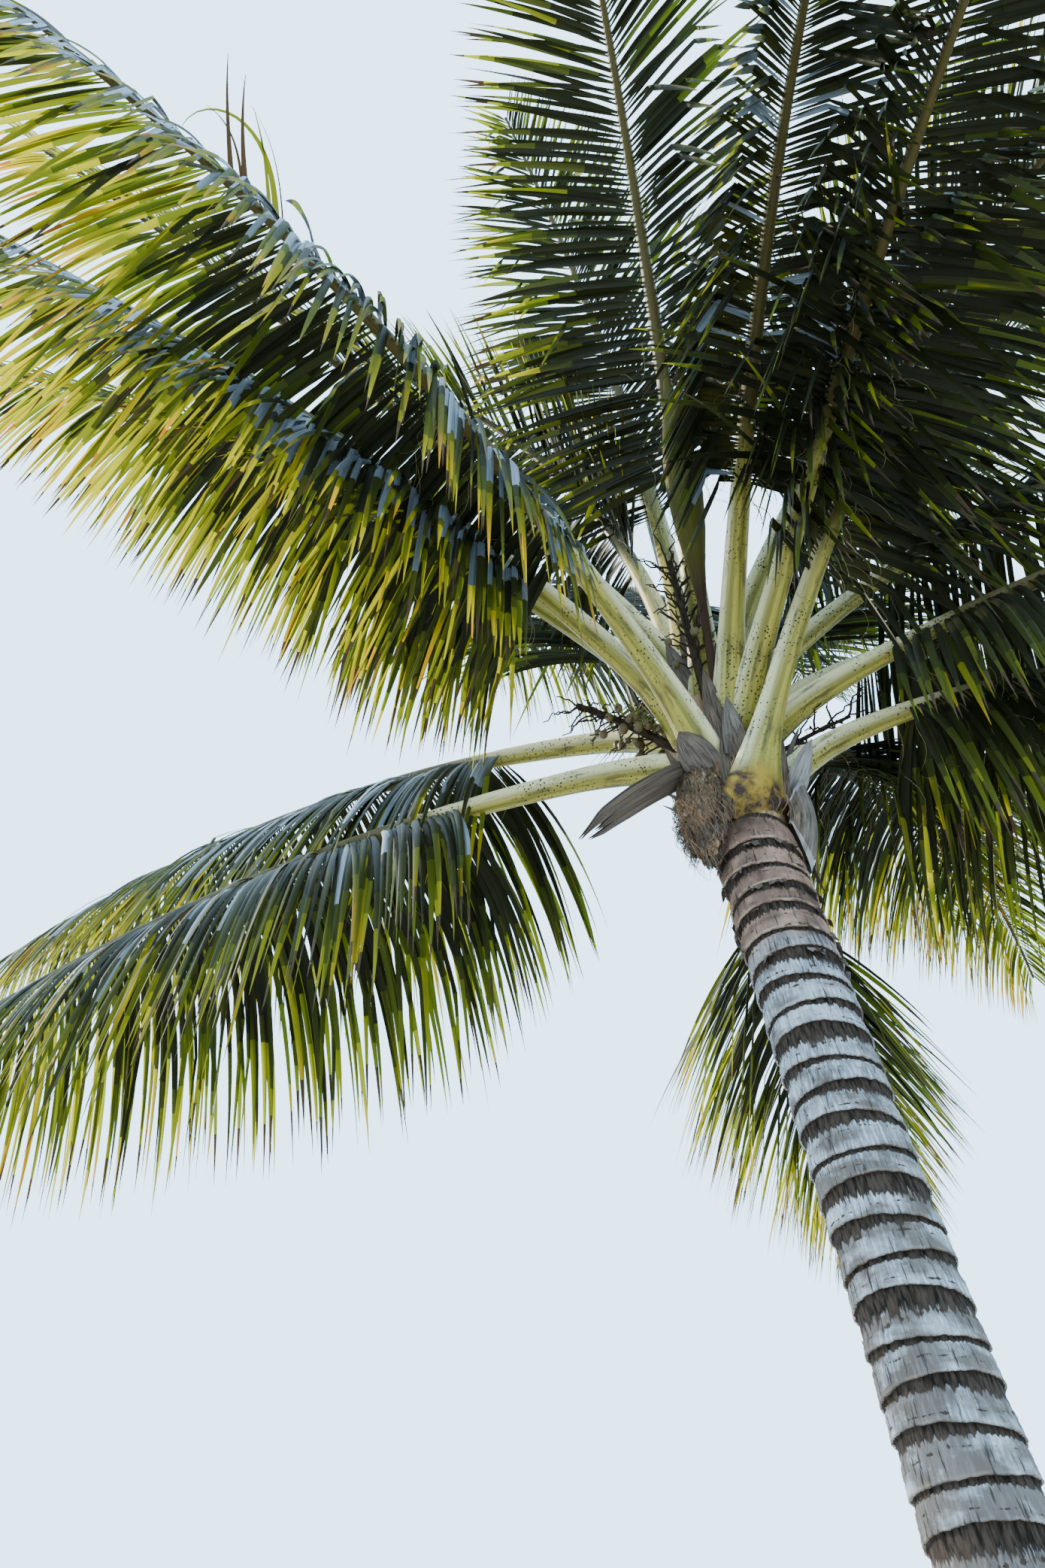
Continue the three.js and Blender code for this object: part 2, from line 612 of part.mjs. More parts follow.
// A plate bent round the heart. Its top and bottom edges are furthest from its middle
// height halfway along it, and there its top flares outward and its outside bellies.
function bentPlate(plate, grow) {
  const rings = [];
  for (let i = 0; i <= plate.steps; i += 1) {
    const share = i / plate.steps;
    const azimuth = lerp(plate.from, plate.to, share);
    const bulge = Math.sin(Math.PI * clamp(share, PLATE_END, 1 - PLATE_END));
    const top = plate.middle + (plate.top - plate.middle) * bulge;
    const bottom = plate.middle + (plate.bottom - plate.middle) * bulge;
    const innerTop = heartRadius(top) - PLATE_SINK + plate.flare * bulge;
    const innerBottom = TRUNK_RADIUS + plate.standOff;
    const thickness = plate.thickness + grow;
    const outerTop = innerTop + thickness + PLATE_LIP;
    const outerBottom = innerBottom + thickness;
    const belly = (outerTop + outerBottom) / 2 + plate.belly * bulge;
    rings.push([
      besideHeart(azimuth, innerTop - grow, top + grow),
      besideHeart(azimuth, outerTop, top + grow),
      besideHeart(azimuth, belly, (top + bottom) / 2),
      besideHeart(azimuth, outerBottom, bottom - grow),
      besideHeart(azimuth, innerBottom - grow, bottom - grow),
    ]);
  }
  return loft(rings);
}

// Long dry strap of old leaf sheath, hanging from the heart
function makeStrap(grow) {
  const last = STRAP_SHAPE.length - 1;
  const path = stalkPath({ ...STRAP, steps: last });
  const rings = path.map((point, i) => {
    const forward = path[Math.min(i + 1, last)].clone().sub(path[Math.max(i - 1, 0)]).normalize();
    const across = forward.clone().cross(UP).normalize();
    const twist = rad(STRAP.twist);
    const wide = across.multiplyScalar(Math.cos(twist)).addScaledVector(UP, Math.sin(twist));
    wide.addScaledVector(forward, -wide.dot(forward)).normalize();
    const face = wide.clone().cross(forward);
    const half = (STRAP.width / 2) * STRAP_SHAPE[i] + grow;
    const corner = (w, n) => point.clone().addScaledVector(wide, w).addScaledVector(face, n);
    const thick = STRAP.thickness / 2 + grow;
    return [corner(half, thick), corner(half, -thick), corner(-half, -thick), corner(-half, thick)];
  });
  return loft(rings);
}

// Assembly

const palm = new THREE.Group();

const FINISHES = {
  bark: new THREE.MeshStandardMaterial({ color: 0x9a9893, roughness: 0.9, metalness: 0 }),
  fibre: new THREE.MeshStandardMaterial({ color: 0x7a5a3c, roughness: 1, metalness: 0 }),
  leaf: new THREE.MeshStandardMaterial({ color: 0x5f7a2c, roughness: 0.55, metalness: 0 }),
  petiole: new THREE.MeshStandardMaterial({ color: 0xb7b46a, roughness: 0.5, metalness: 0 }),
  dry: new THREE.MeshStandardMaterial({ color: 0x6b5845, roughness: 0.95, metalness: 0 }),
};

function place(name, solid, origin, finish) {
  const mesh = new THREE.Mesh(geometryOf(solid, origin), finish);
  mesh.name = name;
  mesh.position.copy(origin);
  palm.add(mesh);
}

const trunk = makeTrunk(0);
const heart = makeHeart(0);
const core = makeTrunk(GAP).add(makeHeart(GAP));

// Every frond with its bare limb, grown by the clearance, which other pieces are cut by
const fronds = FRONDS.map((frond, index) => {
  const spine = spineOf(frond);
  const name = `frond_${String(index + 1).padStart(2, '0')}`;
  return { name, frond, spine, grown: bareLimb(frond, spine, LIMB_GAP) };
});

// The pieces between the fronds give way to every petiole, and by the clearance below it
const petioles = fronds
  .map(({ grown }) => grown.add(grown.translate([0, 0, -GAP])))
  .reduce((a, b) => a.add(b));
const smallPieces = {
  green_spathe: { make: makeSpathe, finish: FINISHES.petiole },
  flower_bunch: { make: (grow) => makeBunch(FLOWER_BUNCH, grow), finish: FINISHES.dry },
  fruit_bunch: { make: (grow) => makeBunch(FRUIT_BUNCH, grow), finish: FINISHES.dry },
  dry_twigs: { make: (grow) => makeBunch(DRY_TWIGS, grow), finish: FINISHES.dry },
  dry_strap: { make: makeStrap, finish: FINISHES.dry },
  fibre_mat: { make: (grow) => bentPlate(FIBRE_MAT, grow), finish: FINISHES.fibre },
  leaf_boot: { make: (grow) => bentPlate(LEAF_BOOT, grow), finish: FINISHES.dry },
};

const spear = makeSpear();
const obstacles = [trunk, heart, spear].map(withBox);
place('trunk', trunk, vec(0, 0, 0), FINISHES.bark);
place('crown_heart', heart, crownBase, FINISHES.fibre);
place('spear_leaf', spear, heartAxis(SPEAR_PROFILE[0][0]), FINISHES.petiole);

let taken = core.add(petioles);
for (const [name, { make, finish }] of Object.entries(smallPieces)) {
  const solid = largestBody(make(0).subtract(taken));
  place(name, solid, crownBase, finish);
  obstacles.push(withBox(solid));
  taken = taken.add(make(2 * GAP));
}

fronds.forEach((each) => obstacles.push(Object.assign(withBox(each.grown), { frond: each.frond })));
fronds.forEach(({ name, frond, spine, grown }, index) => {
  const ownLimb = withBox(grown);
  const others = obstacles.filter((other) => other.frond !== frond);
  const kept = others.length;
  const reaches = leafletReaches(frond, spine, ownLimb, others);
  obstacles.push(...others.slice(kept));
  let solid = frondSkin(frond, spine, reaches).subtract(core);
  for (const earlier of fronds.slice(0, index)) {
    if (boxesMeet(solid.boundingBox(), earlier.grown.boundingBox())) solid = solid.subtract(earlier.grown);
  }
  place(name, largestBody(solid), spine[0].point, FINISHES.leaf);
});

export default palm;
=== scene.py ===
"""Coconut palm: a leaning ringed trunk and a full crown of feather fronds.

Metres and degrees. +Z is up and the palm stands on Z = 0. The fronds, the trunk and the
small pieces of the crown follow the same sizes and the same rules as the solids.
"""

import bpy
import numpy as np
from numpy import radians
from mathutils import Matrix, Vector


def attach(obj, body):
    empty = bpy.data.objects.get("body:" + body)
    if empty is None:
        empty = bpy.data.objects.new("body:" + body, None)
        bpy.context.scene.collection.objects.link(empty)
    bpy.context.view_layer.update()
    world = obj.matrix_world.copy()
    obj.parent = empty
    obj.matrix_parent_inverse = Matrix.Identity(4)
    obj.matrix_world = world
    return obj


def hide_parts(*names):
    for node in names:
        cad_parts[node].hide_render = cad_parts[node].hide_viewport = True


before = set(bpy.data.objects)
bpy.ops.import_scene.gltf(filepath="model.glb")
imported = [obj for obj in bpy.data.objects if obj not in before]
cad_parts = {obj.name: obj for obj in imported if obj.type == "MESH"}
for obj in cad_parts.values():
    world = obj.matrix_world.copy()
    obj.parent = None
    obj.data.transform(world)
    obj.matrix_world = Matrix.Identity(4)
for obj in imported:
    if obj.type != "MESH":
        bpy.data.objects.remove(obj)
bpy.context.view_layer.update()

# Trunk
TRUNK_TOP = 4.5
TRUNK_LEAN = 0.115
TRUNK_RADIUS = 0.140
TRUNK_FOOT_GAIN = 0.028
FLARE_GAIN = 0.085
FLARE_HEIGHT = 0.33
TRUNK_COLUMNS = 144
SCAR_SPACING_LOW = 0.122
SCAR_SPACING_HIGH = 0.086
SCAR_WAVE = 0.013  # how far a scar climbs on the side where its leaf stood
SCAR_RAGGED = 0.0022
FIRST_SCAR_SIDE = 250
LEAF_TURN = 137.5  # each leaf stood this much further round the trunk
SCAR_ROWS = (
    0.0, 0.035, 0.08, 0.14, 0.21, 0.28, 0.36, 0.44, 0.5, 0.56, 0.62, 0.68, 0.75, 0.82, 0.9, 0.96, 0.993,
)
SCAR_THIN = 0.21  # share of a ring that its dark scar takes on the far side, the scar's own dark brown with painted shade under the ring above
SCAR_WIDE = 0.52  # and what is added on the side of the leaf
SCAR_DEPTH = 0.0055  # at the upper edge of a scar
SCAR_RISE = 0.003  # how much less deep it is at its lower edge
RING_PROUD = 0.0015  # just below a scar
RING_SWELL = 0.0045  # and what is added at the lip
BARK_LUMPS = 0.0012
PLAIN_FOOT = 0.25  # the scars grow from nothing at the ground to full depth here
CREASE = dict(share=0.62, wave=0.2, half=0.045, dark=0.55, depth=0.002)  # old fold across a ring
YOUNG_BARK = 0.62  # length of the pink-brown bark below the crown
YOUNG_FADE = 0.15
LIP_SHARE = 0.9  # below this share of a ring its lip begins, which is pale near the crown
FLAKED_RINGS = 6
FLAKES_A_RING = 11

# Crown heart
HEART_LEAN = 0.09
HEART_PROFILE = ((0, 0.135), (0.25, 0.165), (0.5, 0.150), (0.75, 0.110), (1.0, 0.060), (1.15, 0.035))

# Every frond
PETIOLE_SHARE = 0.24  # usual part of the length without leaflets
FOOT_LIFT = 22
FOOT_LIFT_SHARE = 0.14
STEEPEST_FOOT = 80
FOOT_STAND = 0.018
FOOT_WIDTH = 0.160
FOOT_RUN = 0.45
PETIOLE_WIDTH = 0.112
BLADE_START_WIDTH = 0.078
RIB_TIP_WIDTH = 0.013
FOOT_DEPTH = 0.074
BLADE_START_DEPTH = 0.052
RIB_TIP_DEPTH = 0.013
RIB_TAPER = 0.75
FOOT_SINK = 0.8
FOOT_DROP = 0.6
FIRST_LEAFLET = 0.75
LEAFLET_RISE = 2
LEAFLET_LOSS = 0.72
LEAFLET_LOSS_POWER = 2.4
HANG_POWER = 1.3
TIP_SWEEP = 57
SPINE_STEPS = 48
RIB_RINGS = 56
LEAFLET_SPACING = 0.0245
LEAFLET_STEPS = 11
LEAFLET_WIDTH = 0.037
LEAFLET_FOLD = 30  # each half of a leaflet slopes down from its middle by this
RIB_GRAIN = 0.2

# How unlike each other the leaflets of one frond are
TILT_WAVER = 5
TILT_STRAY = 4
SWEEP_STRAY = 2.5
HANG_WAVER = 0.16
HANG_STRAY = 0.10
LENGTH_RANGE = (0.86, 1.02)
WIDTH_RANGE = (0.72, 1.12)
FOLD_RANGE = (0.5, 1.4)
ROOT_TWIST = 12
TIP_TWIST = 28
MISSING_LEAFLETS = 0.02
FIRST_BREAK = 0.12  # share of its length where a broken leaflet breaks at the earliest
BROKEN_DROP = 2.6  # how much more steeply it hangs from there
TINT_STRAY = 0.09
TINT_STEPS = (0.12, 0.27, 0.42, 0.58, 0.74, 0.88)  # of dryness, from one tint to the next
NEAR_CROWN = 0.55  # up to here along a blade the roots of the leaflets get a second step of painted shade

# Share of its full width that a leaflet has along its length
LEAFLET_OUTLINE = (
    (0, 0.30), (0.06, 0.62), (0.18, 0.92), (0.35, 1.0), (0.6, 0.84), (0.8, 0.5), (0.93, 0.2), (1, 0.03),
)

# Section of a rib, as shares of its half width and half depth, counter-clockwise from
# its upper right edge when seen from the tip
RIB_SECTION = (
    (1.0, 0.86), (0.86, 1.0), (0.45, 0.66), (0.0, 0.52), (-0.45, 0.66), (-0.86, 1.0), (-1.0, 0.86),
    (-0.97, 0.45), (-0.86, -0.1), (-0.70, -0.58), (-0.42, -0.9), (0.0, -1.0),
    (0.42, -0.9), (0.70, -0.58), (0.86, -0.1), (0.97, 0.45),
)
RIB_CREAM_AND_HIGHLIGHT = (1, 1, 0.35, 0, 0.35, 1, 1, 0.85, 0.6, 0.12, 0, 0, 0, 0.12, 0.6, 0.85)  # how cream each is: the stalk's own pale edges, brightened as painted highlight on its rims

# azimuth and rise are a frond's heading and slope at its foot, fall is what the slope loses by the
# tip, by the power bend, and sweep what the heading gains. foot is its height on the heart, seat its
# side where that isn't its heading, and clasp what is added to its foot's width. dry goes from dark
# green (0) to orange and brown (1). Of its leaflets, roll tips the right-hand ones up and the others
# down, fold lowers both, hang is their droop, root_sweep how far the first lean forward, leaflet
# their length, dense how close they stand, sheen how many get a painted reflection of the sky, torn
# the shares that have broken and hang, on the right and on the left, and tear how far along them
# they break at most
USUAL_FROND = {
    "bend": 1.3, "sweep": 0, "length": 3.7, "petiole": PETIOLE_SHARE, "roll": 0, "fold": 10,
    "hang": 0.6, "root_sweep": 10, "leaflet": 1.08, "clasp": 0.0, "dense": 1.2, "sheen": 0.0,
    "torn": (0.12, 0.12), "tear": 0.7,
}


def row(azimuth, rise, fall, foot, dry, **others):
    """A frond's values, with the usual ones where it has none of its own."""
    return dict(USUAL_FROND, azimuth=azimuth, rise=rise, fall=fall, foot=foot, dry=dry, **others)


FRONDS = (
    row(305, 60, 65, 0.06, 0.10, bend=1.5, sweep=5, length=3.75, hang=1.0, seat=280, clasp=0.12,
        torn=(0.85, 0.3), tear=0.4),
    row(75, 20, 50, 0.16, 0.38, sweep=-10, fold=35, hang=1.2, root_sweep=20, dense=2.2),
    row(50, 55, 65, 0.20, 0.40, sweep=10, length=3.75, fold=20, hang=2.5, dense=1.6),
    row(350, 30, 80, 0.25, 0.16, bend=1.1, sweep=10, length=3.6, petiole=0.16, roll=-20, fold=35,
        hang=3.0, root_sweep=-20, leaflet=1.18, dense=1.5),
    row(225, 40, 65, 0.30, 0.38, roll=38, fold=25, hang=1.6, root_sweep=-15, dense=1.5, sheen=0.9,
        torn=(0.12, 0.6), tear=0.35),
    row(165, 0, 40, 0.38, 0.34, bend=1.2, length=3.65, roll=20, fold=30, hang=2.8, root_sweep=-20,
        leaflet=1.2, dense=1.9, sheen=0.4),
    row(40, 45, 70, 0.40, 0.34, bend=1.4, sweep=20, fold=15, hang=2.0, dense=1.6),
    row(290, 40, 30, 0.42, 0.04, sweep=-5, hang=0.8, root_sweep=-5, leaflet=0.95,
        torn=(0.92, 0.25), tear=0.4),
    row(335, 20, 55, 0.45, 0.14, length=3.65, petiole=0.16, roll=-20, fold=30, hang=2.5,
        root_sweep=-15),
    row(205, 45, 60, 0.45, 0.38, bend=1.0, sweep=10, length=3.8, roll=38, fold=25, hang=1.6,
        root_sweep=-15, dense=1.5, sheen=0.9, torn=(0.12, 0.65), tear=0.35),
    row(275, 50, 40, 0.46, 0.05, sweep=5, hang=0.7, root_sweep=-5, leaflet=0.95, dense=1.7,
        sheen=0.1, torn=(0.96, 0.5), tear=0.26),
    row(150, 25, 45, 0.55, 0.34, bend=1.1, sweep=5, length=3.65, roll=20, fold=30, hang=2.8,
        root_sweep=-20, leaflet=1.25, dense=1.9, sheen=0.4),
    row(15, 50, 65, 0.56, 0.24, bend=1.2, length=3.65, fold=20, hang=2.0),
    row(190, 45, 45, 0.62, 0.36, sweep=5, roll=20, fold=20, hang=1.8, leaflet=0.95),
    row(120, 70, 35, 0.62, 0.30, sweep=5, fold=15, hang=1.5),
    row(345, 45, 60, 0.66, 0.18, length=3.65, roll=-20, fold=20, hang=1.5, root_sweep=-10),
    row(260, 60, 45, 0.70, 0.16, sweep=-5, roll=20, fold=5, root_sweep=-5, leaflet=0.85,
        torn=(0.06, 0.2)),
    row(60, 70, 50, 0.72, 0.06, length=3.6, fold=8),
    row(200, 50, 35, 0.80, 0.32, bend=1.2, sweep=10, length=3.8, roll=20, fold=20, hang=1.5),
    row(320, 60, 30, 0.80, 0.12, length=3.65, fold=5),
    row(20, 75, 50, 0.85, 0.14, length=3.5, fold=8),
    row(350, 70, 45, 0.90, 0.12, length=3.55, fold=8),
    row(185, 85, 60, 0.92, 0.26, bend=1.2, sweep=5, length=2.9, hang=0.8, leaflet=0.85),
    row(100, 75, 45, 0.95, 0.16, length=3.5, fold=8),
    row(235, 85, 40, 0.98, 0.20, length=3.5, fold=5, hang=0.5, leaflet=0.9),
)

# Small pieces of the crown
SPEAR_PROFILE = ((1.1503, 0.033), (1.7, 0.037), (2.5, 0.024), (3.4, 0.004))
SPATHE = dict(azimuth=258, h=0.4, rise=59, fall=1, length=1.62)
SPATHE_RADII = (0.020, 0.018, 0.017, 0.016, 0.018, 0.034, 0.056, 0.068, 0.066, 0.048, 0.024, 0.004)
SPATHE_FLATNESS = 0.75
FLOWER_BUNCH = dict(azimuth=245, h=0.48, rise=60, fall=-6, length=0.76, thick=0.022,
                    twigs=46, spread=0.13, droop=0.5, nuts=9, nut=0.017)
FRUIT_BUNCH = dict(azimuth=178, h=0.33, rise=52, fall=24, length=0.64, thick=0.024,
                   twigs=44, spread=0.12, droop=-0.4, nuts=24, nut=0.020)
DRY_TWIGS = dict(azimuth=352, h=0.33, rise=38, fall=14, length=0.48, thick=0.012,
                 twigs=16, spread=0.15, droop=0.2, nuts=0, nut=0)
STRAP = dict(azimuth=205, h=0.36, rise=-40, fall=15, length=0.85)
STRAP_WIDTH = 0.115
STRAP_TWIST = -45
STRAP_SHAPE = ((0, 0.7), (0.3, 0.95), (0.6, 1.0), (0.82, 0.85), (1, 0.3))
STRAP_TAILS = ((-1.0, -0.28, 1.0), (-0.28, 0.34, 0.90), (0.34, 1.0, 0.96))  # from, to and where it ends
STRAP_SPLIT = 0.16
STRAP_DISH = 0.012
STRAP_HALF_THICK = 0.004
FIBRE_MAT = dict(start=160, end=246, top=0.32, middle=0.06, bottom=-0.16,
                 flare=0, belly=0.07, stand=0.045)
LEAF_BOOT = dict(start=312, end=384, top=0.23, middle=0.02, bottom=-0.18,
                 flare=0.055, belly=0.035, stand=0.02)
BOOT_TIP = dict(azimuth=358, radius=0.172, h=0.10, lean=0.05, length=0.36, half=0.034)
MAT_STRANDS = 700
HEART_STRANDS = 420
SCRAPS = 64
THREADS_A_FROND = 14
THREAD_HALF = 0.0020

# Scraps of sheath that show at their own places: azimuth, height on the heart, length, half width,
# slope at the foot, what it loses by the tip, and material
KNOWN_SCRAPS = (
    (330, 0.13, 0.27, 0.070, 62, 8, 3),
    (228, 0.20, 0.20, 0.070, 38, 30, 2),
    (254, 0.08, 0.34, 0.050, 82, 10, 1),
    (262, 0.22, 0.26, 0.040, 84, 14, 1),
)

# Old leaflets that stand out from a frond's ridge: share of its blade, length, the angle that they
# curl over by their tip and its heading, half width and tint
STANDING_FROND = "frond_05"
STANDING_HEADING = 270
STANDING = (
    (0.585, 0.38, 8, 0, 0.010, 7),
    (0.565, 0.36, 12, 0, 0.011, 7),
    (0.57, 0.30, 60, 180, 0.006, 7),
    (0.52, 0.56, 135, 180, 0.011, 2),
    (0.53, 0.34, 15, 180, 0.008, 2),
    (0.51, 0.40, 35, 180, 0.003, 7),
)

# Photograph's view
CAMERA_PLACE = (-1.31, -3.07, 1.6)
CAMERA_PITCH = 46
CAMERA_LENS = 28
CAMERA_FRAME = 36

# Light
SKY_COLOUR = (0.52, 0.78, 1.0, 1)
SKY_STRENGTH = 4.5
KEY_STRENGTH = 15
KEY_AZIMUTH = 156
KEY_HEIGHT = 30
KEY_SOFTNESS = 5
KEY_COLOUR = (1.0, 0.91, 0.74)
FLOOR_REACH = 30.0
FLOOR_DROP = 0.002

UP = np.array([0.0, 0.0, 1.0])
random = np.random.default_rng(2800)
uniform, normal, choice = random.uniform, random.normal, random.choice


# Small helpers

def blend(a, b, share):
    return a + (b - a) * share


def shares(count):
    return np.linspace(0, 1, count)


def linked(name, data):
    """A new object in the scene."""
    made = bpy.data.objects.new(name, data)
    bpy.context.scene.collection.objects.link(made)
    return made


def along(points, x):
    """Value at x on a line through (x, value) points."""
    xs, values = zip(*points)
    return np.interp(x, xs, values)


def stacked(*values):
    """The values side by side in a last axis, spread to one shape first."""
    return np.stack(np.broadcast_arrays(*values), axis=-1)


def on_circle(heading):
    """Level unit vectors."""
    angle = radians(np.asarray(heading, float))
    return stacked(np.cos(angle), np.sin(angle), 0.0)


def aimed(heading, slope):
    """Unit vectors that climb at a slope."""
    pitch = radians(np.asarray(slope, float))[..., None]
    return on_circle(heading) * np.cos(pitch) + UP * np.sin(pitch)


def walk(start, directions, length):
    """The points of a path of this length that takes one step in each direction."""
    return start + np.cumsum(directions, axis=0) * length / len(directions)


def path_at(path, places, wanted):
    """Points of a path at the wanted places, where its own points stand at places."""
    return stacked(*(np.interp(wanted, places, column) for column in path.T))


def unit(vectors):
    return vectors / np.maximum(np.linalg.norm(vectors, axis=-1, keepdims=True), 1e-9)


def wavering(count, step):
    """Smooth random values from -1 to 1, with a new one about every step places."""
    knots = uniform(-1, 1, int(count / step) + 3)
    return np.interp(np.arange(count) / step, np.arange(len(knots)), knots)


class Skin:
    """The points and faces of one piece, gathered before its mesh is made."""

    def __init__(self):
        self.points, self.quads, self.kinds = [], [], []
        self.grain, self.marks = [], []
        self.count = 0

    def grid(self, points, closed=False, kind=0, grain=None, marks=None):
        """A sheet of rows x columns points. closed joins its last column to its first, kind is a
        material, one for each row of faces or one for each face, grain is the pattern's place and
        marks are three numbers for each point that a material reads."""
        rows, columns = points.shape[:2]
        index = self.count + np.arange(rows * columns).reshape(rows, columns)
        if closed:
            index = np.concatenate([index, index[:, :1]], axis=1)
        corners = (index[:-1, :-1], index[:-1, 1:], index[1:, 1:], index[1:, :-1])
        quads = np.stack(corners, axis=-1)
        kind = np.asarray(kind)
        kinds = np.broadcast_to(kind if kind.ndim == 2 else kind.reshape(-1, 1), quads.shape[:2])
        if grain is None:
            grain = stacked(shares(columns), shares(rows)[:, None])
        if marks is None:
            marks = np.zeros((rows, columns, 3))
        self.points.append(points.reshape(-1, 3))
        self.quads.append(quads.reshape(-1, 4))
        self.kinds.append(kinds.reshape(-1))
        self.grain.append(grain.reshape(-1, 2))
        self.marks.append(marks.reshape(-1, 3))
        self.count += rows * columns

    def piece(self, name, materials, slot, replaces=()):
        """Makes the mesh object, and says where it rides and what it stands for."""
        points = np.concatenate(self.points)
        quads = np.concatenate(self.quads)
        mesh = bpy.data.meshes.new(name)
        mesh.vertices.add(len(points))
        mesh.vertices.foreach_set("co", points.astype(np.float32).ravel())
        mesh.loops.add(quads.size)
        mesh.loops.foreach_set("vertex_index", quads.astype(np.int32).ravel())
        mesh.polygons.add(len(quads))
        mesh.polygons.foreach_set("loop_start", np.arange(0, quads.size, 4, dtype=np.int32))
        mesh.polygons.foreach_set("material_index", np.concatenate(self.kinds).astype(np.int32))
        mesh.polygons.foreach_set("use_smooth", np.full(len(quads), True))
        mesh.update(calc_edges=True)
        mesh.validate()
        layer = mesh.uv_layers.new(name="grain")
        grain = np.concatenate(self.grain)[quads.ravel()]
        layer.data.foreach_set("uv", grain.astype(np.float32).ravel())
        marks = np.concatenate(self.marks)
        for column, label in enumerate(("mark", "edge", "lip")):
            attribute = mesh.attributes.new(label, "FLOAT", "POINT")
            attribute.data.foreach_set("value", marks[:, column].astype(np.float32))
        for material in materials:
            mesh.materials.append(material)
        made = linked(name, mesh)
        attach(made, "root")
        if replaces:
            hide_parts(*replaces)


def tube(path, radii, sides, flatness=1.0):
    """Rings of points round a path, with a radius at each of its points."""
    forward = unit(np.gradient(path, axis=0))
    steep = np.abs(forward[:, 2:3]) > 0.95
    reference = np.where(steep, np.array([0.0, 1.0, 0.0]), UP)
    side = unit(np.cross(forward, reference))
    top = np.cross(side, forward)
    angle = 2 * np.pi * np.arange(sides) / sides
    radii = np.asarray(radii, float)[:, None, None]
    return (path[:, None, :]
            + side[:, None, :] * np.cos(angle)[None, :, None] * radii
            - top[:, None, :] * np.sin(angle)[None, :, None] * radii * flatness)


def ribbon(path, wide, half):
    """A flat strip of two columns along a path."""
    reach = wide * np.asarray(half)[:, None]
    return np.stack([path - reach, path + reach], axis=1)


# Materials

class Surface:
    """A material on a Principled shader, with short ways to add nodes to it."""

    def __init__(self, name, roughness, specular=0.35):
        self.material = bpy.data.materials.new(name)
        self.material.use_nodes = True
        self.tree = self.material.node_tree
        self.shader = self.tree.nodes["Principled BSDF"]
        self.shader.inputs["Roughness"].default_value = roughness
        self.shader.inputs["Specular IOR Level"].default_value = specular

    def node(self, kind, **inputs):
        made = self.tree.nodes.new("ShaderNode" + kind)
        for name, value in inputs.items():
            self.give(made.inputs[name], value)
        return made

    def give(self, socket, value):
        if isinstance(value, bpy.types.NodeSocket):
            self.tree.links.new(value, socket)
        elif hasattr(value, "__len__") and len(value) == 3 and socket.type == "RGBA":
            socket.default_value = (*value, 1.0)
        else:
            socket.default_value = value

    def place(self):
        return self.node("TexCoord").outputs["Object"]

    def noise(self, scale, detail=4.0, rough=0.55, place=None):
        given = dict(Scale=scale, Detail=detail, Roughness=rough)
        return self.node("TexNoise", Vector=place or self.place(), **given).outputs["Fac"]

    def grained(self, across, down, detail=4.0, rough=0.55):
        """Noise that follows the piece's own grain, this fine across it and down it."""
        grain = self.node("UVMap")
        grain.uv_map = "grain"
        stretched = self.node("Mapping", Vector=grain.outputs["UV"], Scale=(across, down, 1))
        return self.noise(1.0, detail, rough, stretched.outputs["Vector"])

    def specks(self, scale):
        return self.node("TexVoronoi", Vector=self.place(), Scale=scale).outputs["Distance"]

    def height(self):
        return self.node("SeparateXYZ", Vector=self.place()).outputs["Z"]

    def mark(self, label):
        made = self.node("Attribute")
        made.attribute_name = label
        return made.outputs["Fac"]

    def maths(self, operation, a, b=0.0):
        made = self.tree.nodes.new("ShaderNodeMath")
        made.operation = operation
        made.use_clamp = True
        self.give(made.inputs[0], a)
        self.give(made.inputs[1], b)
        return made.outputs[0]

    def between(self, value, low, high):
        """0 where value is under low and 1 where it is over high."""
        made = self.node("MapRange", Value=value)
        made.inputs["From Min"].default_value = low
        made.inputs["From Max"].default_value = high
        return made.outputs["Result"]

    def mix(self, share, a, b):
        made = self.tree.nodes.new("ShaderNodeMix")
        made.data_type = "RGBA"
        self.give(made.inputs[0], share)
        self.give(made.inputs[6], a)
        self.give(made.inputs[7], b)
        return made.outputs[2]

    def cover(self, base, colour, mask, strength):
        """The base with a colour laid over it where the mask is, as far as the strength."""
        return self.mix(self.maths("MULTIPLY", mask, strength), base, colour)

    def colour(self, value):
        self.give(self.shader.inputs["Base Color"], value)

    def relief(self, height, strength, distance):
        made = self.node("Bump", Height=height)
        made.inputs["Strength"].default_value = strength
        made.inputs["Distance"].default_value = distance
        self.tree.links.new(made.outputs["Normal"], self.shader.inputs["Normal"])

    def let_light_through(self, share, tint):
        """Adds light that comes through from the other side, as a thin leaf has."""
        through = self.node("BsdfTranslucent", Color=tint)
        both = self.node("MixShader", Fac=share)
        self.tree.links.new(self.shader.outputs[0], both.inputs[1])
        self.tree.links.new(through.outputs[0], both.inputs[2])
        self.tree.links.new(both.outputs[0], self.tree.nodes["Material Output"].inputs["Surface"])


def leaf_surface(name, dark, light, glow, share, specular=0.11):
    """A leaflet's skin: two near tones in fine lengthwise streaks, and the light that shines through."""
    made = Surface(name, roughness=0.5, specular=specular)
    streaks = made.grained(14, 1.5, detail=3)
    made.colour(made.mix(made.between(streaks, 0.35, 0.65), dark, light))
    made.relief(streaks, 0.25, 0.002)
    made.let_light_through(share, glow)
    return made.material


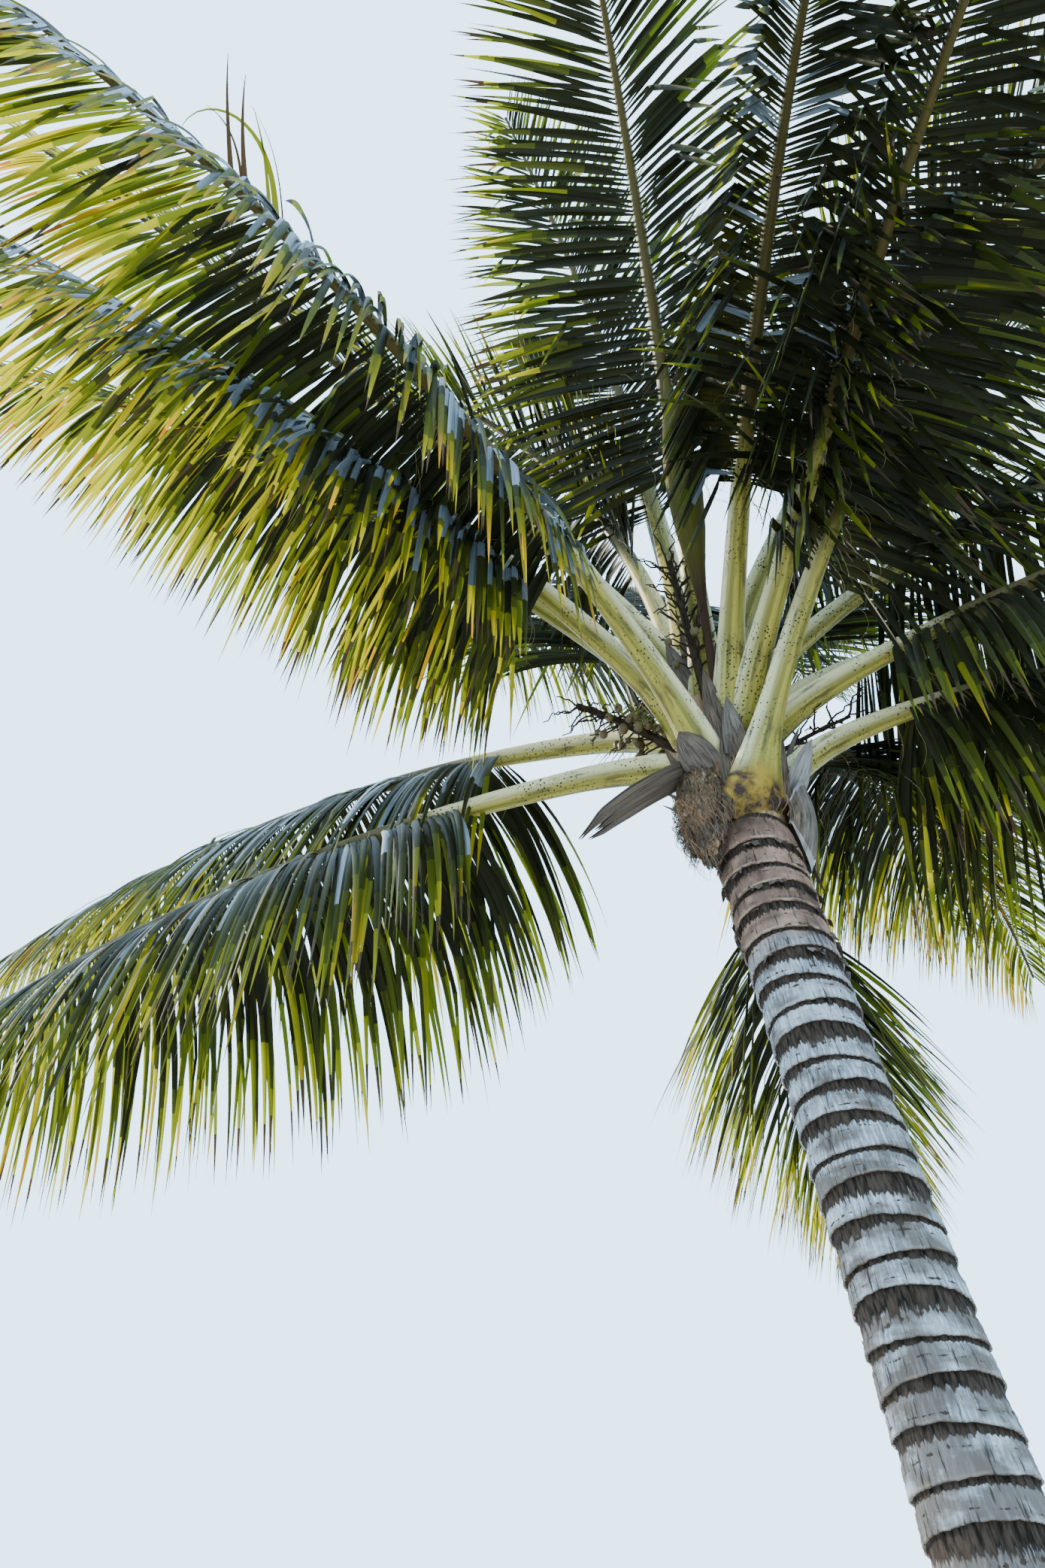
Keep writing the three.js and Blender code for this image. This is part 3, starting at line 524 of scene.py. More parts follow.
def bark_surface():
    """Silver-grey bark with dark scars, partly their own dark brown and partly painted shade under each
    ring above, fine upright cracks and brown stains, which grow toward the ground. Near the crown it
    is pink-brown, and each ring ends in a cream lip."""
    made = Surface("bark", roughness=0.9, specular=0.05)
    fine = made.grained(70, 6, detail=6)
    cracks = made.between(made.grained(110, 9, detail=7), 0.59, 0.66)
    chalk = made.between(made.grained(130, 14), 0.48, 0.62)
    clouds = made.grained(9, 5, detail=5)
    silver = made.mix(made.between(clouds, 0.3, 0.7), (0.125, 0.138, 0.160), (0.35, 0.37, 0.395))
    silver = made.cover(silver, (0.52, 0.54, 0.56), chalk, 0.7)
    young = made.mix(made.between(clouds, 0.35, 0.65), (0.065, 0.040, 0.032), (0.36, 0.215, 0.16))
    youth = made.mark("edge")
    base = made.mix(youth, silver, young)
    aged = made.maths("MULTIPLY", made.between(made.height(), 3.9, 1.8), 0.21)
    stains = made.between(made.maths("ADD", made.grained(8, 13, detail=7), aged), 0.495, 0.65)
    base = made.cover(base, (0.082, 0.058, 0.042), stains, 0.8)
    base = made.cover(base, (0.020, 0.016, 0.014), cracks, 0.85)
    torn = made.between(made.grained(24, 40, detail=6), 0.44, 0.56)
    lip = made.maths("MULTIPLY", made.mark("lip"), torn)
    base = made.cover(base, (0.34, 0.25, 0.17), lip, made.maths("ADD", youth, 0.25))
    splinters = made.grained(95, 16, detail=7)
    ragged = made.maths("MULTIPLY", made.maths("SUBTRACT", splinters, 0.3), 1.5)
    depth = made.maths("ADD", made.mark("mark"), ragged)
    # the scar colour, dark brown to near-black: partly the scar's own colour, partly painted shade under
    # the ring above
    scar_and_shade_tone = made.mix(made.between(splinters, 0.38, 0.60), (0.009, 0.007, 0.005), (0.050, 0.036, 0.028))
    made.colour(made.mix(made.between(depth, 0.66, 0.78), base, scar_and_shade_tone))
    made.relief(made.maths("SUBTRACT", fine, made.maths("MULTIPLY", cracks, 0.6)), 0.7, 0.006)
    return made.material


def petiole_surface():
    """Yellow-green stalk with cream edges, partly its own pale margins and partly painted highlight,
    ochre stripes, dark smudges and specks. Its foot is mottled ochre and brown where the mark says so,
    and toward its tip it turns olive brown."""
    made = Surface("petiole", roughness=0.48, specular=0.2)
    streaks = made.grained(5, 1.6, detail=5)
    green = made.mix(made.between(streaks, 0.36, 0.64), (0.120, 0.116, 0.014), (0.37, 0.31, 0.058))
    stripe = made.between(made.grained(11, 0.5, detail=3), 0.54, 0.68)
    body = made.cover(green, (0.31, 0.185, 0.026), stripe, 0.6)
    # cream edges: partly the stalk's own pale margins, partly painted highlight where its rims catch the
    # light
    body = made.cover(body, (0.84, 0.77, 0.48), made.mark("edge"), 0.85)
    smudge = made.between(made.grained(4, 6, detail=8), 0.55, 0.66)
    body = made.cover(body, (0.034, 0.025, 0.012), smudge, 0.65)
    speck = made.between(made.specks(70.0), 0.32, 0.20)
    body = made.cover(body, (0.012, 0.010, 0.006), speck, made.between(made.noise(7.0), 0.42, 0.58))
    body = made.mix(made.mark("lip"), body, (0.052, 0.034, 0.004))
    mottle = made.noise(17.0, detail=7, rough=0.62)
    foot = made.maths("ADD", made.mark("mark"), made.maths("SUBTRACT", mottle, 0.5))
    ochre = made.mix(made.between(mottle, 0.40, 0.60), (0.032, 0.017, 0.012), (0.31, 0.195, 0.022))
    made.colour(made.mix(made.between(foot, 0.35, 0.8), body, ochre))
    made.relief(streaks, 0.2, 0.004)
    return made.material


def fibrous_surface(name, dark, light, across, down, roughness=0.9):
    """Dry plant matter: lengthwise fibres in two tones."""
    made = Surface(name, roughness=roughness, specular=0.15)
    fibres = made.grained(across, down, detail=7, rough=0.6)
    made.colour(made.mix(made.between(fibres, 0.34, 0.66), dark, light))
    made.relief(fibres, 0.8, 0.006)
    return made.material


def spathe_surface():
    """Ribbed olive green skin that turns brown at its foot."""
    made = Surface("spathe", roughness=0.6, specular=0.1)
    ribs = made.grained(26, 1.2, detail=3)
    green = made.mix(ribs, (0.035, 0.033, 0.004), (0.085, 0.072, 0.010))
    made.colour(made.mix(made.mark("mark"), green, (0.035, 0.018, 0.010)))
    made.relief(ribs, 0.5, 0.004)
    return made.material


def nut_surface():
    made = Surface("young_nut", roughness=0.5)
    mottle = made.noise(60.0)
    made.colour(made.mix(mottle, (0.035, 0.022, 0.008), (0.14, 0.10, 0.032)))
    made.relief(mottle, 0.3, 0.002)
    return made.material


def floor_surface():
    made = Surface("floor", roughness=0.9, specular=0.1)
    made.colour(made.mix(made.noise(0.8), (0.30, 0.30, 0.295), (0.33, 0.33, 0.325)))
    return made.material


# Leaflet tints from the darkest green to the driest, of which the darkest are partly painted shade,
# and last a painted reflection of the sky: two tones of the skin, the light that comes through and
# the share of it
LEAF_COLOURS = (
    # painted shade in part: black and deep are darker than the leaves' own green, for undersides deep in
    # the crown and for shaded roots
    ("black", (0.008, 0.009, 0.003), (0.018, 0.018, 0.007), (0.030, 0.034, 0.004), 0.12),
    ("deep", (0.014, 0.017, 0.004), (0.031, 0.034, 0.010), (0.085, 0.105, 0.008), 0.22),
    ("green", (0.018, 0.026, 0.006), (0.040, 0.047, 0.011), (0.21, 0.25, 0.010), 0.32),
    ("fresh", (0.036, 0.046, 0.007), (0.070, 0.076, 0.014), (0.46, 0.45, 0.012), 0.40),
    ("olive", (0.058, 0.054, 0.007), (0.100, 0.084, 0.013), (0.50, 0.40, 0.010), 0.42),
    ("yellow", (0.125, 0.080, 0.008), (0.22, 0.135, 0.016), (0.66, 0.36, 0.010), 0.40),
    ("orange", (0.100, 0.040, 0.007), (0.19, 0.080, 0.013), (0.54, 0.20, 0.010), 0.32),
    ("brown", (0.030, 0.019, 0.011), (0.075, 0.050, 0.031), (0.12, 0.07, 0.02), 0.12),
    # painted reflection: a cool grey skin that stands in for the sky seen in the gloss of leaflets that
    # bend over
    ("blue", (0.085, 0.112, 0.140), (0.27, 0.32, 0.38), (0.10, 0.12, 0.10), 0.05, 0.5),
)
LEAF_TINTS = [leaf_surface("leaf_" + name, *colours) for name, *colours in LEAF_COLOURS]
LEAF_PAINTED_SKY = len(LEAF_TINTS) - 1
DRIEST = LEAF_PAINTED_SKY - 1
BARK = bark_surface()
PETIOLE = petiole_surface()
FIBRE = fibrous_surface("fibre", (0.024, 0.013, 0.008), (0.46, 0.29, 0.165), 22, 3)
SHEATH_DARK = fibrous_surface("sheath_brown", (0.020, 0.014, 0.010), (0.19, 0.14, 0.105), 16, 2.5)
SHEATH_GREY = fibrous_surface("sheath_grey", (0.050, 0.039, 0.032), (0.21, 0.175, 0.15), 16, 2.5)
SHEATH_PALE = fibrous_surface("sheath_pale", (0.13, 0.11, 0.095), (0.36, 0.35, 0.34), 16, 2.5)
TWIG = fibrous_surface("dry_twig", (0.010, 0.007, 0.005), (0.050, 0.032, 0.019), 6, 12)
SPATHE_SKIN = spathe_surface()
NUT = nut_surface()
YOUNG = leaf_surface("leaf_young", (0.10, 0.12, 0.025), (0.19, 0.20, 0.06), (0.4, 0.4, 0.07), 0.2)
THREAD = fibrous_surface("leaf_thread", (0.10, 0.085, 0.035), (0.26, 0.22, 0.10), 3, 9, 0.6)


# Trunk

def trunk_axis(z):
    z = np.asarray(z, float)
    return stacked(-TRUNK_LEAN * z, 0.0, z)


def trunk_radius(z):
    low = 1 - np.clip(z / TRUNK_TOP, 0, 1)
    flare = np.exp(-3 * (np.maximum(z, 0) / FLARE_HEIGHT) ** 1.2)
    return TRUNK_RADIUS + TRUNK_FOOT_GAIN * low * low + FLARE_GAIN * flare


def scar_heights():
    heights = [0.0]
    while heights[-1] < TRUNK_TOP - SCAR_SPACING_HIGH:
        share = heights[-1] / TRUNK_TOP
        heights.append(heights[-1] + blend(SCAR_SPACING_LOW, SCAR_SPACING_HIGH, share))
    heights[-1] = TRUNK_TOP
    return heights


def scar_relief(share, band):
    """How far the bark stands proud, from just above one scar line down to the next."""
    inside = share < band
    recess = -SCAR_DEPTH + SCAR_RISE * share / np.maximum(band, 0.01)
    below = np.clip((share - band) / np.maximum(1 - band, 0.01), 0, 1)
    swell = RING_PROUD + RING_SWELL * below ** 1.5
    return np.where(inside, recess, swell)


def add_flake(skin, height, azimuth, kind):
    """A torn edge of young bark that curls away from the trunk."""
    columns, rows = 7, 4
    width, length = uniform(0.015, 0.055), uniform(0.008, 0.024)
    around = azimuth + np.degrees(np.linspace(-0.5, 0.5, columns) * width / TRUNK_RADIUS)
    down = shares(rows)[:, None]
    z = height - length * down * (1 + 0.5 * wavering(columns, 1))
    radius = trunk_radius(height) + 0.004 + 0.013 * down ** 2
    points = trunk_axis(z) + on_circle(around)[None] * radius[..., None]
    skin.grid(points, kind=kind, grain=stacked(np.linspace(0, width, columns), z))


def make_trunk():
    angles = 360 * np.arange(TRUNK_COLUMNS) / TRUNK_COLUMNS
    heights = scar_heights()
    last = len(heights) - 1
    phases = FIRST_SCAR_SIDE + LEAF_TURN * np.arange(last + 1)
    lines = []
    for k, height in enumerate(heights):
        at_end = k in (0, last)
        wave = 0 if at_end else SCAR_WAVE * uniform(0.75, 1.1)
        ragged = 0 if at_end else SCAR_RAGGED * wavering(TRUNK_COLUMNS, 3)
        lines.append(height + wave * np.cos(radians(angles - phases[k])) + ragged)
    rows, marks = [], []

    def add_row(z, proud, scar_and_shade, lip=False):
        rows.append(trunk_axis(z) + on_circle(angles) * (trunk_radius(z) + proud)[:, None])
        young = np.clip((z - (TRUNK_TOP - YOUNG_BARK)) / YOUNG_FADE, 0, 1)
        marks.append(stacked(scar_and_shade, young, lip))

    blank = np.zeros(TRUNK_COLUMNS)
    add_row(blank, 0.01 - trunk_radius(blank), blank)
    for k in range(last):
        upper, lower = lines[k + 1], lines[k]
        toward = 0.5 + 0.5 * np.cos(radians(angles - phases[k + 1]))
        band = SCAR_THIN + SCAR_WIDE * toward * uniform(0.3, 1.1)
        crossing = CREASE["share"] + CREASE["wave"] * np.cos(radians(angles - phases[k] - 60))
        for share in SCAR_ROWS[::-1]:
            z = blend(upper, lower, share)
            # scar mark, full just under the ring line and fading down the band: partly the scar's own
            # dark, partly painted shade under the ring above
            scar_and_shade = np.clip(1.15 - share / band, 0, 1)
            crease = CREASE["dark"] * np.clip(1 - np.abs(share - crossing) / CREASE["half"], 0, 1)
            proud = scar_relief(share, band) * np.clip(z / PLAIN_FOOT, 0, 1)
            proud = proud + BARK_LUMPS * wavering(TRUNK_COLUMNS, 2) - CREASE["depth"] * crease
            add_row(z, proud, np.maximum(scar_and_shade, crease), share > LIP_SHARE)
    points = np.array(rows)
    columns = 2 * np.pi * TRUNK_RADIUS * np.arange(TRUNK_COLUMNS) / TRUNK_COLUMNS
    skin = Skin()
    skin.grid(points, closed=True, grain=stacked(columns, points[:, :, 2]), marks=np.array(marks))
    for line in heights[-1 - FLAKED_RINGS:-1]:
        for _ in range(FLAKES_A_RING):
            add_flake(skin, line + uniform(-0.006, 0.008), uniform(0, 360),
                      choice([1, 1, 2, 3]))
    skin.piece("trunk_bark", [BARK, SHEATH_DARK, SHEATH_GREY, SHEATH_PALE], "bark", ["trunk"])


# Crown heart

def heart_axis(h):
    h = np.asarray(h, float)
    return trunk_axis(TRUNK_TOP) + stacked(-HEART_LEAN * h, 0.0, h)


def heart_radius(h):
    return along(HEART_PROFILE, h)


def beside_heart(azimuth, radius, h):
    return heart_axis(h) + on_circle(azimuth) * np.asarray(radius)[..., None]


def make_heart():
    columns, rows = 96, 70
    angles = 360 * np.arange(columns) / columns
    ridges = 0.007 * wavering(columns, 2)
    skin = Skin()
    points = []
    for h in np.linspace(0, HEART_PROFILE[-1][0], rows):
        rough = ridges + 0.005 * wavering(columns, 3)
        radius = heart_radius(h) - 0.004 + rough * min(1, 12 * h)
        points.append(beside_heart(angles, radius, h + 0 * angles))
    skin.grid(np.array(points), closed=True)
    for scrap in KNOWN_SCRAPS:
        add_scrap(skin, *scrap)
    for _ in range(SCRAPS):
        add_scrap(skin, azimuth=uniform(0, 360), h=uniform(0.02, 0.75),
                  length=uniform(0.14, 0.34), half=uniform(0.018, 0.042),
                  rise=uniform(58, 84), fall=uniform(0, 28),
                  kind=choice([1, 1, 1, 2, 2]), turn=uniform(-20, 20))
    for _ in range(HEART_STRANDS):
        azimuth, h = uniform(0, 360), uniform(0.06, 0.55)
        start = beside_heart(azimuth, heart_radius(h) + uniform(0.0, 0.03), h)
        add_strand(skin, start, azimuth, uniform(0.05, 0.16), choice([0, 0, 1]))
    skin.piece("crown_heart_fibre", [FIBRE, SHEATH_DARK, SHEATH_GREY, SHEATH_PALE], "crown_fibre",
               ["crown_heart"])


def add_scrap(skin, azimuth, h, length, half, rise, fall, kind, turn=0):
    """A dry, pointed scrap of leaf sheath that stands up between the stalks."""
    share = shares(8)
    outward = on_circle(azimuth + turn)
    root = beside_heart(azimuth, heart_radius(h) + 0.004, h)
    path = walk(root, aimed(azimuth + turn, rise - fall * share), length)
    half = half * (1 - share ** 2.2) + 0.001
    cup = outward * (half * 0.45)[:, None]
    wide = np.cross(UP, outward) * half[:, None]
    columns = [path - wide + cup, path - 0.4 * wide, path + 0.4 * wide, path + wide + cup]
    skin.grid(np.stack(columns, axis=1), kind=kind)


def add_strand(skin, start, azimuth, length, kind):
    """A loose fibre that bows outward, hangs and curls."""
    share = shares(8)
    curl = uniform(0.006, 0.022)
    turn = uniform(0, 360) + uniform(120, 420) * share
    path = (start + on_circle(azimuth) * (0.018 * np.sin(np.pi * share))[:, None]
            - UP * (length * share)[:, None] + on_circle(turn) * (curl * share)[:, None])
    half = uniform(0.0010, 0.0034) * (1 - 0.7 * share)
    skin.grid(ribbon(path, on_circle(azimuth + 90 + uniform(-50, 50))[None], half), kind=kind)


# Fronds

def spine_of(frond):
    """The rib's points, with forward, across and top directions at each."""
    seat = on_circle(frond.get("seat", frond["azimuth"]))
    start = heart_axis(frond["foot"]) + seat * (heart_radius(frond["foot"]) + FOOT_STAND)
    u = np.clip((np.arange(SPINE_STEPS + 1) - 0.5) / SPINE_STEPS, 0, 1)
    most_lift = np.clip(STEEPEST_FOOT - frond["rise"], 0, FOOT_LIFT)
    lift = most_lift * np.maximum(0, 1 - u / FOOT_LIFT_SHARE) ** 2
    heading = frond["azimuth"] + frond["sweep"] * u
    forward = aimed(heading, frond["rise"] + lift - frond["fall"] * u ** frond["bend"])
    across = on_circle(heading - 90)
    points = np.concatenate([start[None], walk(start, forward[1:], frond["length"])])
    return dict(point=points, forward=forward, across=across, top=np.cross(across, forward))


def spine_at(spine, u):
    """The rib's point and directions at shares u of its length."""
    k = np.clip(u, 0, 1) * SPINE_STEPS
    found = {name: path_at(values, np.arange(SPINE_STEPS + 1), k) for name, values in spine.items()}
    for name in ("forward", "across", "top"):
        found[name] = unit(found[name])
    return found


def blade_at(frond, v):
    """Share of the whole length at v, a share of the blade's."""
    return blend(frond["petiole"], 1, v)


def taper(frond, u, foot, start, tip):
    """A size of the rib at u, from its values at the foot, where the blade starts and at the tip."""
    bare = frond["petiole"]
    petiole = blend(foot, start, np.clip(u / bare, 0, 1))
    beyond = np.clip((u - bare) / (1 - bare), 0, 1)
    return np.where(u < bare, petiole, blend(start, tip, beyond ** RIB_TAPER))


def rib_width(frond, u):
    foot_share = np.maximum(0, 1 - u * frond["length"] / FOOT_RUN) ** 2
    clasp = (FOOT_WIDTH + frond["clasp"] - PETIOLE_WIDTH) * foot_share
    return clasp + taper(frond, u, PETIOLE_WIDTH, BLADE_START_WIDTH, RIB_TIP_WIDTH)


def rib_depth(frond, u):
    return taper(frond, u, FOOT_DEPTH, BLADE_START_DEPTH, RIB_TIP_DEPTH)


def make_rib(name, frond, spine):
    u = shares(RIB_RINGS) ** 1.25
    at = spine_at(spine, u)
    section = np.array(RIB_SECTION)
    half = rib_width(frond, u)[:, None, None] / 2
    deep = rib_depth(frond, u)[:, None, None] / 2
    points = (at["point"][:, None]
              + at["across"][:, None] * section[None, :, :1] * half
              + at["top"][:, None] * section[None, :, 1:] * deep)
    sink = FOOT_SINK * heart_radius(frond["foot"])
    seat = on_circle(frond.get("seat", frond["azimuth"]))
    inside = points[:1] - seat * sink - UP * FOOT_DROP * sink
    points = np.concatenate([inside, points])
    u = np.concatenate([[0.0], u])[:, None]
    metres = u * frond["length"]
    brown = np.clip(1 - metres / 0.19, 0, 1) * (frond["clasp"] > 0)
    olive = np.clip((u - frond["petiole"]) / 0.08, 0, 0.92)
    grain = stacked(RIB_GRAIN * np.arange(1, len(section) + 1), metres)
    skin = Skin()
    skin.grid(points, closed=True, grain=grain, marks=stacked(brown, RIB_CREAM_AND_HIGHLIGHT, olive))
    skin.piece(name + "_rib", [PETIOLE], "frond", [name])


def leaflet_share(v):
    return np.minimum(1, FIRST_LEAFLET + LEAFLET_RISE * v) * (1 - LEAFLET_LOSS * v ** LEAFLET_LOSS_POWER)


def leaflet_points(frond, spine, v, side):
    """Three points across each leaflet at every step along it, one edge, the middle and the other,
    and which leaflets are broken."""
    count = len(v)
    u = blade_at(frond, v)
    at = spine_at(spine, u)
    stray = TILT_WAVER * wavering(count, 7) + normal(0, TILT_STRAY, count)
    tilt = radians(frond["roll"] * side - frond["fold"] + stray)[:, None]
    sweep = blend(frond["root_sweep"], TIP_SWEEP, v) + normal(0, SWEEP_STRAY, count)
    sweep = radians(sweep)[:, None]
    out = at["across"] * side * np.cos(tilt) + at["top"] * np.sin(tilt)
    leave = unit(out * np.cos(sweep) + at["forward"] * np.sin(sweep))
    stray = HANG_WAVER * wavering(count, 9) + normal(0, HANG_STRAY, count)
    hang = frond["hang"] * np.exp(stray)[:, None]
    length = frond["leaflet"] * leaflet_share(v) * uniform(*LENGTH_RANGE, count)
    broken = random.random(count) < frond["torn"][0 if side > 0 else 1]
    breaks_at = uniform(FIRST_BREAK, frond["tear"], count)
    point = at["point"] + at["across"] * side * rib_width(frond, u)[:, None] / 2 * 0.8
    middles, directions = [point], [leave]
    for i in range(LEAFLET_STEPS):
        s = (i + 0.5) / LEAFLET_STEPS
        drop = hang * s ** HANG_POWER + BROKEN_DROP * (broken & (s > breaks_at))[:, None]
        direction = unit(leave - UP * drop)
        point = point + direction * length[:, None] / LEAFLET_STEPS
        middles.append(point)
        directions.append(direction)
    middle = np.stack(middles, axis=1)
    direction = np.stack(directions, axis=1)
    forward = at["forward"][:, None]
    wide = unit(forward - direction * np.sum(forward * direction, axis=-1, keepdims=True))
    top = np.cross(direction, wide) * side
    s = shares(LEAFLET_STEPS + 1)
    root_twist = normal(0, ROOT_TWIST, count)[:, None]
    tip_twist = normal(0, TIP_TWIST, count)[:, None]
    twist = radians(root_twist + tip_twist * s)[..., None]
    wide, top = wide * np.cos(twist) + top * np.sin(twist), top * np.cos(twist) - wide * np.sin(twist)
    finer = (USUAL_FROND["dense"] / frond["dense"]) ** 0.35
    width = LEAFLET_WIDTH * finer * (1 - 0.55 * v ** 2) * uniform(*WIDTH_RANGE, count)
    half = (width[:, None] * along(LEAFLET_OUTLINE, s)[None, :] / 2)[..., None]
    fold = radians(LEAFLET_FOLD * uniform(*FOLD_RANGE, count))[:, None, None]
    drop = top * np.sin(fold) * half
    reach = wide * np.cos(fold) * half
    return np.stack([middle - reach - drop, middle, middle + reach - drop], axis=2), broken


def leaflet_kinds(frond, v, side, broken):
    """A tint for each row of faces. Old fronds, leaflets near the end of a frond and the tips of
    leaflets are the driest, roots are given darker tints as painted shade, most near the crown, and
    some leaflets where they bend or break get a painted reflection of the sky."""
    count = len(v)
    dry = frond["dry"] * (0.5 + v ** 1.6) + TINT_STRAY * wavering(count, 6)
    kind = np.digitize(dry + normal(0, TINT_STRAY, count), TINT_STEPS)
    step = np.arange(LEAFLET_STEPS)[None, :]

    def beyond(least, most):
        return step > uniform(least, most, count)[:, None]

    # painted shade: the first rows of each leaflet are one tint darker, and near the crown a second step
    # darker
    painted_root_shade = 1 - beyond(-1, 6) + (1 - beyond(1, 7)) * (v < NEAR_CROWN)[:, None]
    rows = kind[:, None] - painted_root_shade + beyond(3, 13 - 8 * frond["dry"]) + beyond(5, 14) + beyond(7, 12)
    rows = np.where(beyond(8, 11), DRIEST, np.clip(rows, 0, DRIEST))
    folds_over = side * frond["roll"] <= 0
    # painted reflection: the inner rows of some leaflets on the side that folds over, more of them where
    # broken, get the sky tint
    blue = random.random(count) < frond["sheen"] * folds_over * np.where(broken, 1.0, 0.3 + 0.6 * v)
    return np.where(blue[:, None] & ~beyond(2, 7), LEAF_PAINTED_SKY, rows)


def make_leaflets(name, frond, spine):
    blade = frond["length"] * (1 - frond["petiole"])
    count = int(blade / LEAFLET_SPACING * frond["dense"])
    skin = Skin()
    for side in (1, -1):
        v = (np.arange(count) + 0.5 + uniform(-0.3, 0.3, count)) / count
        v = v[random.random(count) > MISSING_LEAFLETS]
        leaflets, broken = leaflet_points(frond, spine, v, side)
        for points, kinds in zip(leaflets, leaflet_kinds(frond, v, side, broken)):
            skin.grid(points, kind=kinds)
    skin.piece(name + "_leaflets", LEAF_TINTS, "frond", [name])


def read_fronds():
    """Each frond's values and rib, by its name."""
    return {f"frond_{i:02d}": (frond, spine_of(frond)) for i, frond in enumerate(FRONDS, start=1)}


def make_fronds(fronds):
    for name, (frond, spine) in fronds.items():
        make_rib(name, frond, spine)
        make_leaflets(name, frond, spine)


def make_threads(fronds):
    """Fine threads that peel off the first leaflets of each frond and curl in the air."""
    skin = Skin()
    share = shares(15)
    for frond, spine in fronds.values():
        for _ in range(THREADS_A_FROND):
            at = spine_at(spine, np.array([frond["petiole"] + uniform(-0.02, 0.2)]))
            side = choice([-1, 1])
            length = uniform(0.18, 0.5)
            curl = uniform(0.02, 0.06)
            turn = uniform(0, 360) + uniform(250, 700) * share
            path = (at["point"] + at["across"] * side * 0.04 * (1 + 3 * share[:, None])
                    - UP * (length * share)[:, None] + on_circle(turn) * (curl * share)[:, None])
            wide = unit(np.cross(np.gradient(path, axis=0), UP))
            skin.grid(ribbon(path, wide, THREAD_HALF * (1 - 0.7 * share)))
    skin.piece("leaf_threads", [THREAD], "frond")


def make_standing(fronds):
    """Stiff old leaflets that stand out from a frond's ridge against the sky and curl over."""
    skin = Skin()
    frond, spine = fronds[STANDING_FROND]
    share = shares(17)
    out = unit(0.4 * UP + 0.9 * on_circle(STANDING_HEADING))
    face = unit(0.9 * UP - 0.4 * on_circle(STANDING_HEADING))
    for v, length, curl, heading, half, kind in STANDING:
        root = spine_at(spine, np.array([blade_at(frond, v)]))["point"]
        bend = radians(curl * share ** 2)[:, None]
        direction = out * np.cos(bend) + on_circle(heading) * np.sin(bend)
        wide = unit(np.cross(direction, face))
        skin.grid(ribbon(walk(root, direction, length), wide, half * (1 - 0.9 * share)), kind=kind)
    skin.piece(STANDING_FROND + "_standing", LEAF_TINTS, "frond")


# Small pieces of the crown

def stalk_path(azimuth, h, rise, fall, length, steps):
    share = (np.arange(steps) + 0.5) / steps
    start = beside_heart(azimuth, 0.4 * heart_radius(h), h)
    return np.concatenate([start[None], walk(start, aimed(azimuth, rise - fall * share), length)])


def stalk_of(piece, steps):
    return stalk_path(*(piece[key] for key in ("azimuth", "h", "rise", "fall", "length")), steps)


def make_spear():
    """The youngest leaf, still folded: a slim pleated rod."""
    h = np.linspace(SPEAR_PROFILE[0][0], SPEAR_PROFILE[-1][0], 60)
    angles = 360 * np.arange(28) / 28
    pleats = 1 + 0.12 * np.cos(radians(angles * 7))
    points = [beside_heart(angles, along(SPEAR_PROFILE, x) * 0.95 * pleats, x + 0 * angles) for x in h]
    skin = Skin()
    skin.grid(np.array(points), closed=True)
    skin.piece("spear_leaf_pleats", [YOUNG], "young_leaf", ["spear_leaf"])


def make_spathe():
    """Boat-shaped flower sheath with fine ribs and a pointed tip."""
    steps = 66
    path = stalk_of(SPATHE, steps)
    stations = shares(len(SPATHE_RADII))
    share = shares(steps + 1)
    sides = 40
    rings = tube(path, np.interp(share, stations, SPATHE_RADII), sides, SPATHE_FLATNESS)
    pleats = 1 + 0.022 * np.cos(2 * np.pi * np.arange(sides) / sides * 10)
    rings = path[:, None] + (rings - path[:, None]) * pleats[None, :, None]
    brown = np.clip((0.5 - share) / 0.12, 0, 1)
    skin = Skin()
    skin.grid(rings, closed=True, marks=stacked(brown[:, None], np.zeros(sides), 0.0))
    skin.piece("green_spathe_skin", [SPATHE_SKIN], "spathe", ["green_spathe"])


def add_nut(skin, centre, radius, kind):
    """A small nut, a little longer than wide, with a pointed cap."""
    polar = radians(np.linspace(4, 176, 9))
    ring = on_circle(360 * np.arange(12) / 12)
    points = [centre + ring * radius * np.sin(a) + UP * radius * 1.15 * np.cos(a) for a in polar[::-1]]
    skin.grid(np.array(points), closed=True, kind=kind)


def make_bunch(name, bunch, slot, node):
    """A stalk with kinked branchlets, and nuts where the bunch has them."""
    stalk = stalk_of(bunch, 14)
    share = shares(15)
    skin = Skin()
    skin.grid(tube(stalk, bunch["thick"] * (1 - 0.5 * share), 10), closed=True)
    for i in range(bunch["twigs"]):
        at = blend(0.35, 0.98, i / (bunch["twigs"] - 1))
        root = path_at(stalk, share, at)
        spread = (on_circle(LEAF_TURN * i) + UP * bunch["droop"]) * bunch["spread"]
        lean = on_circle(bunch["azimuth"]) * 0.5 * bunch["spread"]
        reach = (spread + lean) * uniform(0.75, 1.0)
        s = shares(8)[:, None]
        kinks = normal(0, 0.006, (8, 3)) * np.minimum(1, 4 * s)
        path = root + reach * s + UP * 0.15 * bunch["spread"] * np.sin(np.pi * s) + kinks
        skin.grid(tube(path, 0.0042 * (1 - 0.6 * s[:, 0]) + 0.0006, 5), closed=True)
        if i < bunch["nuts"]:
            add_nut(skin, path[5], bunch["nut"] * uniform(0.6, 1.1), 1)
    skin.piece(name, [TWIG, NUT], slot, [node])


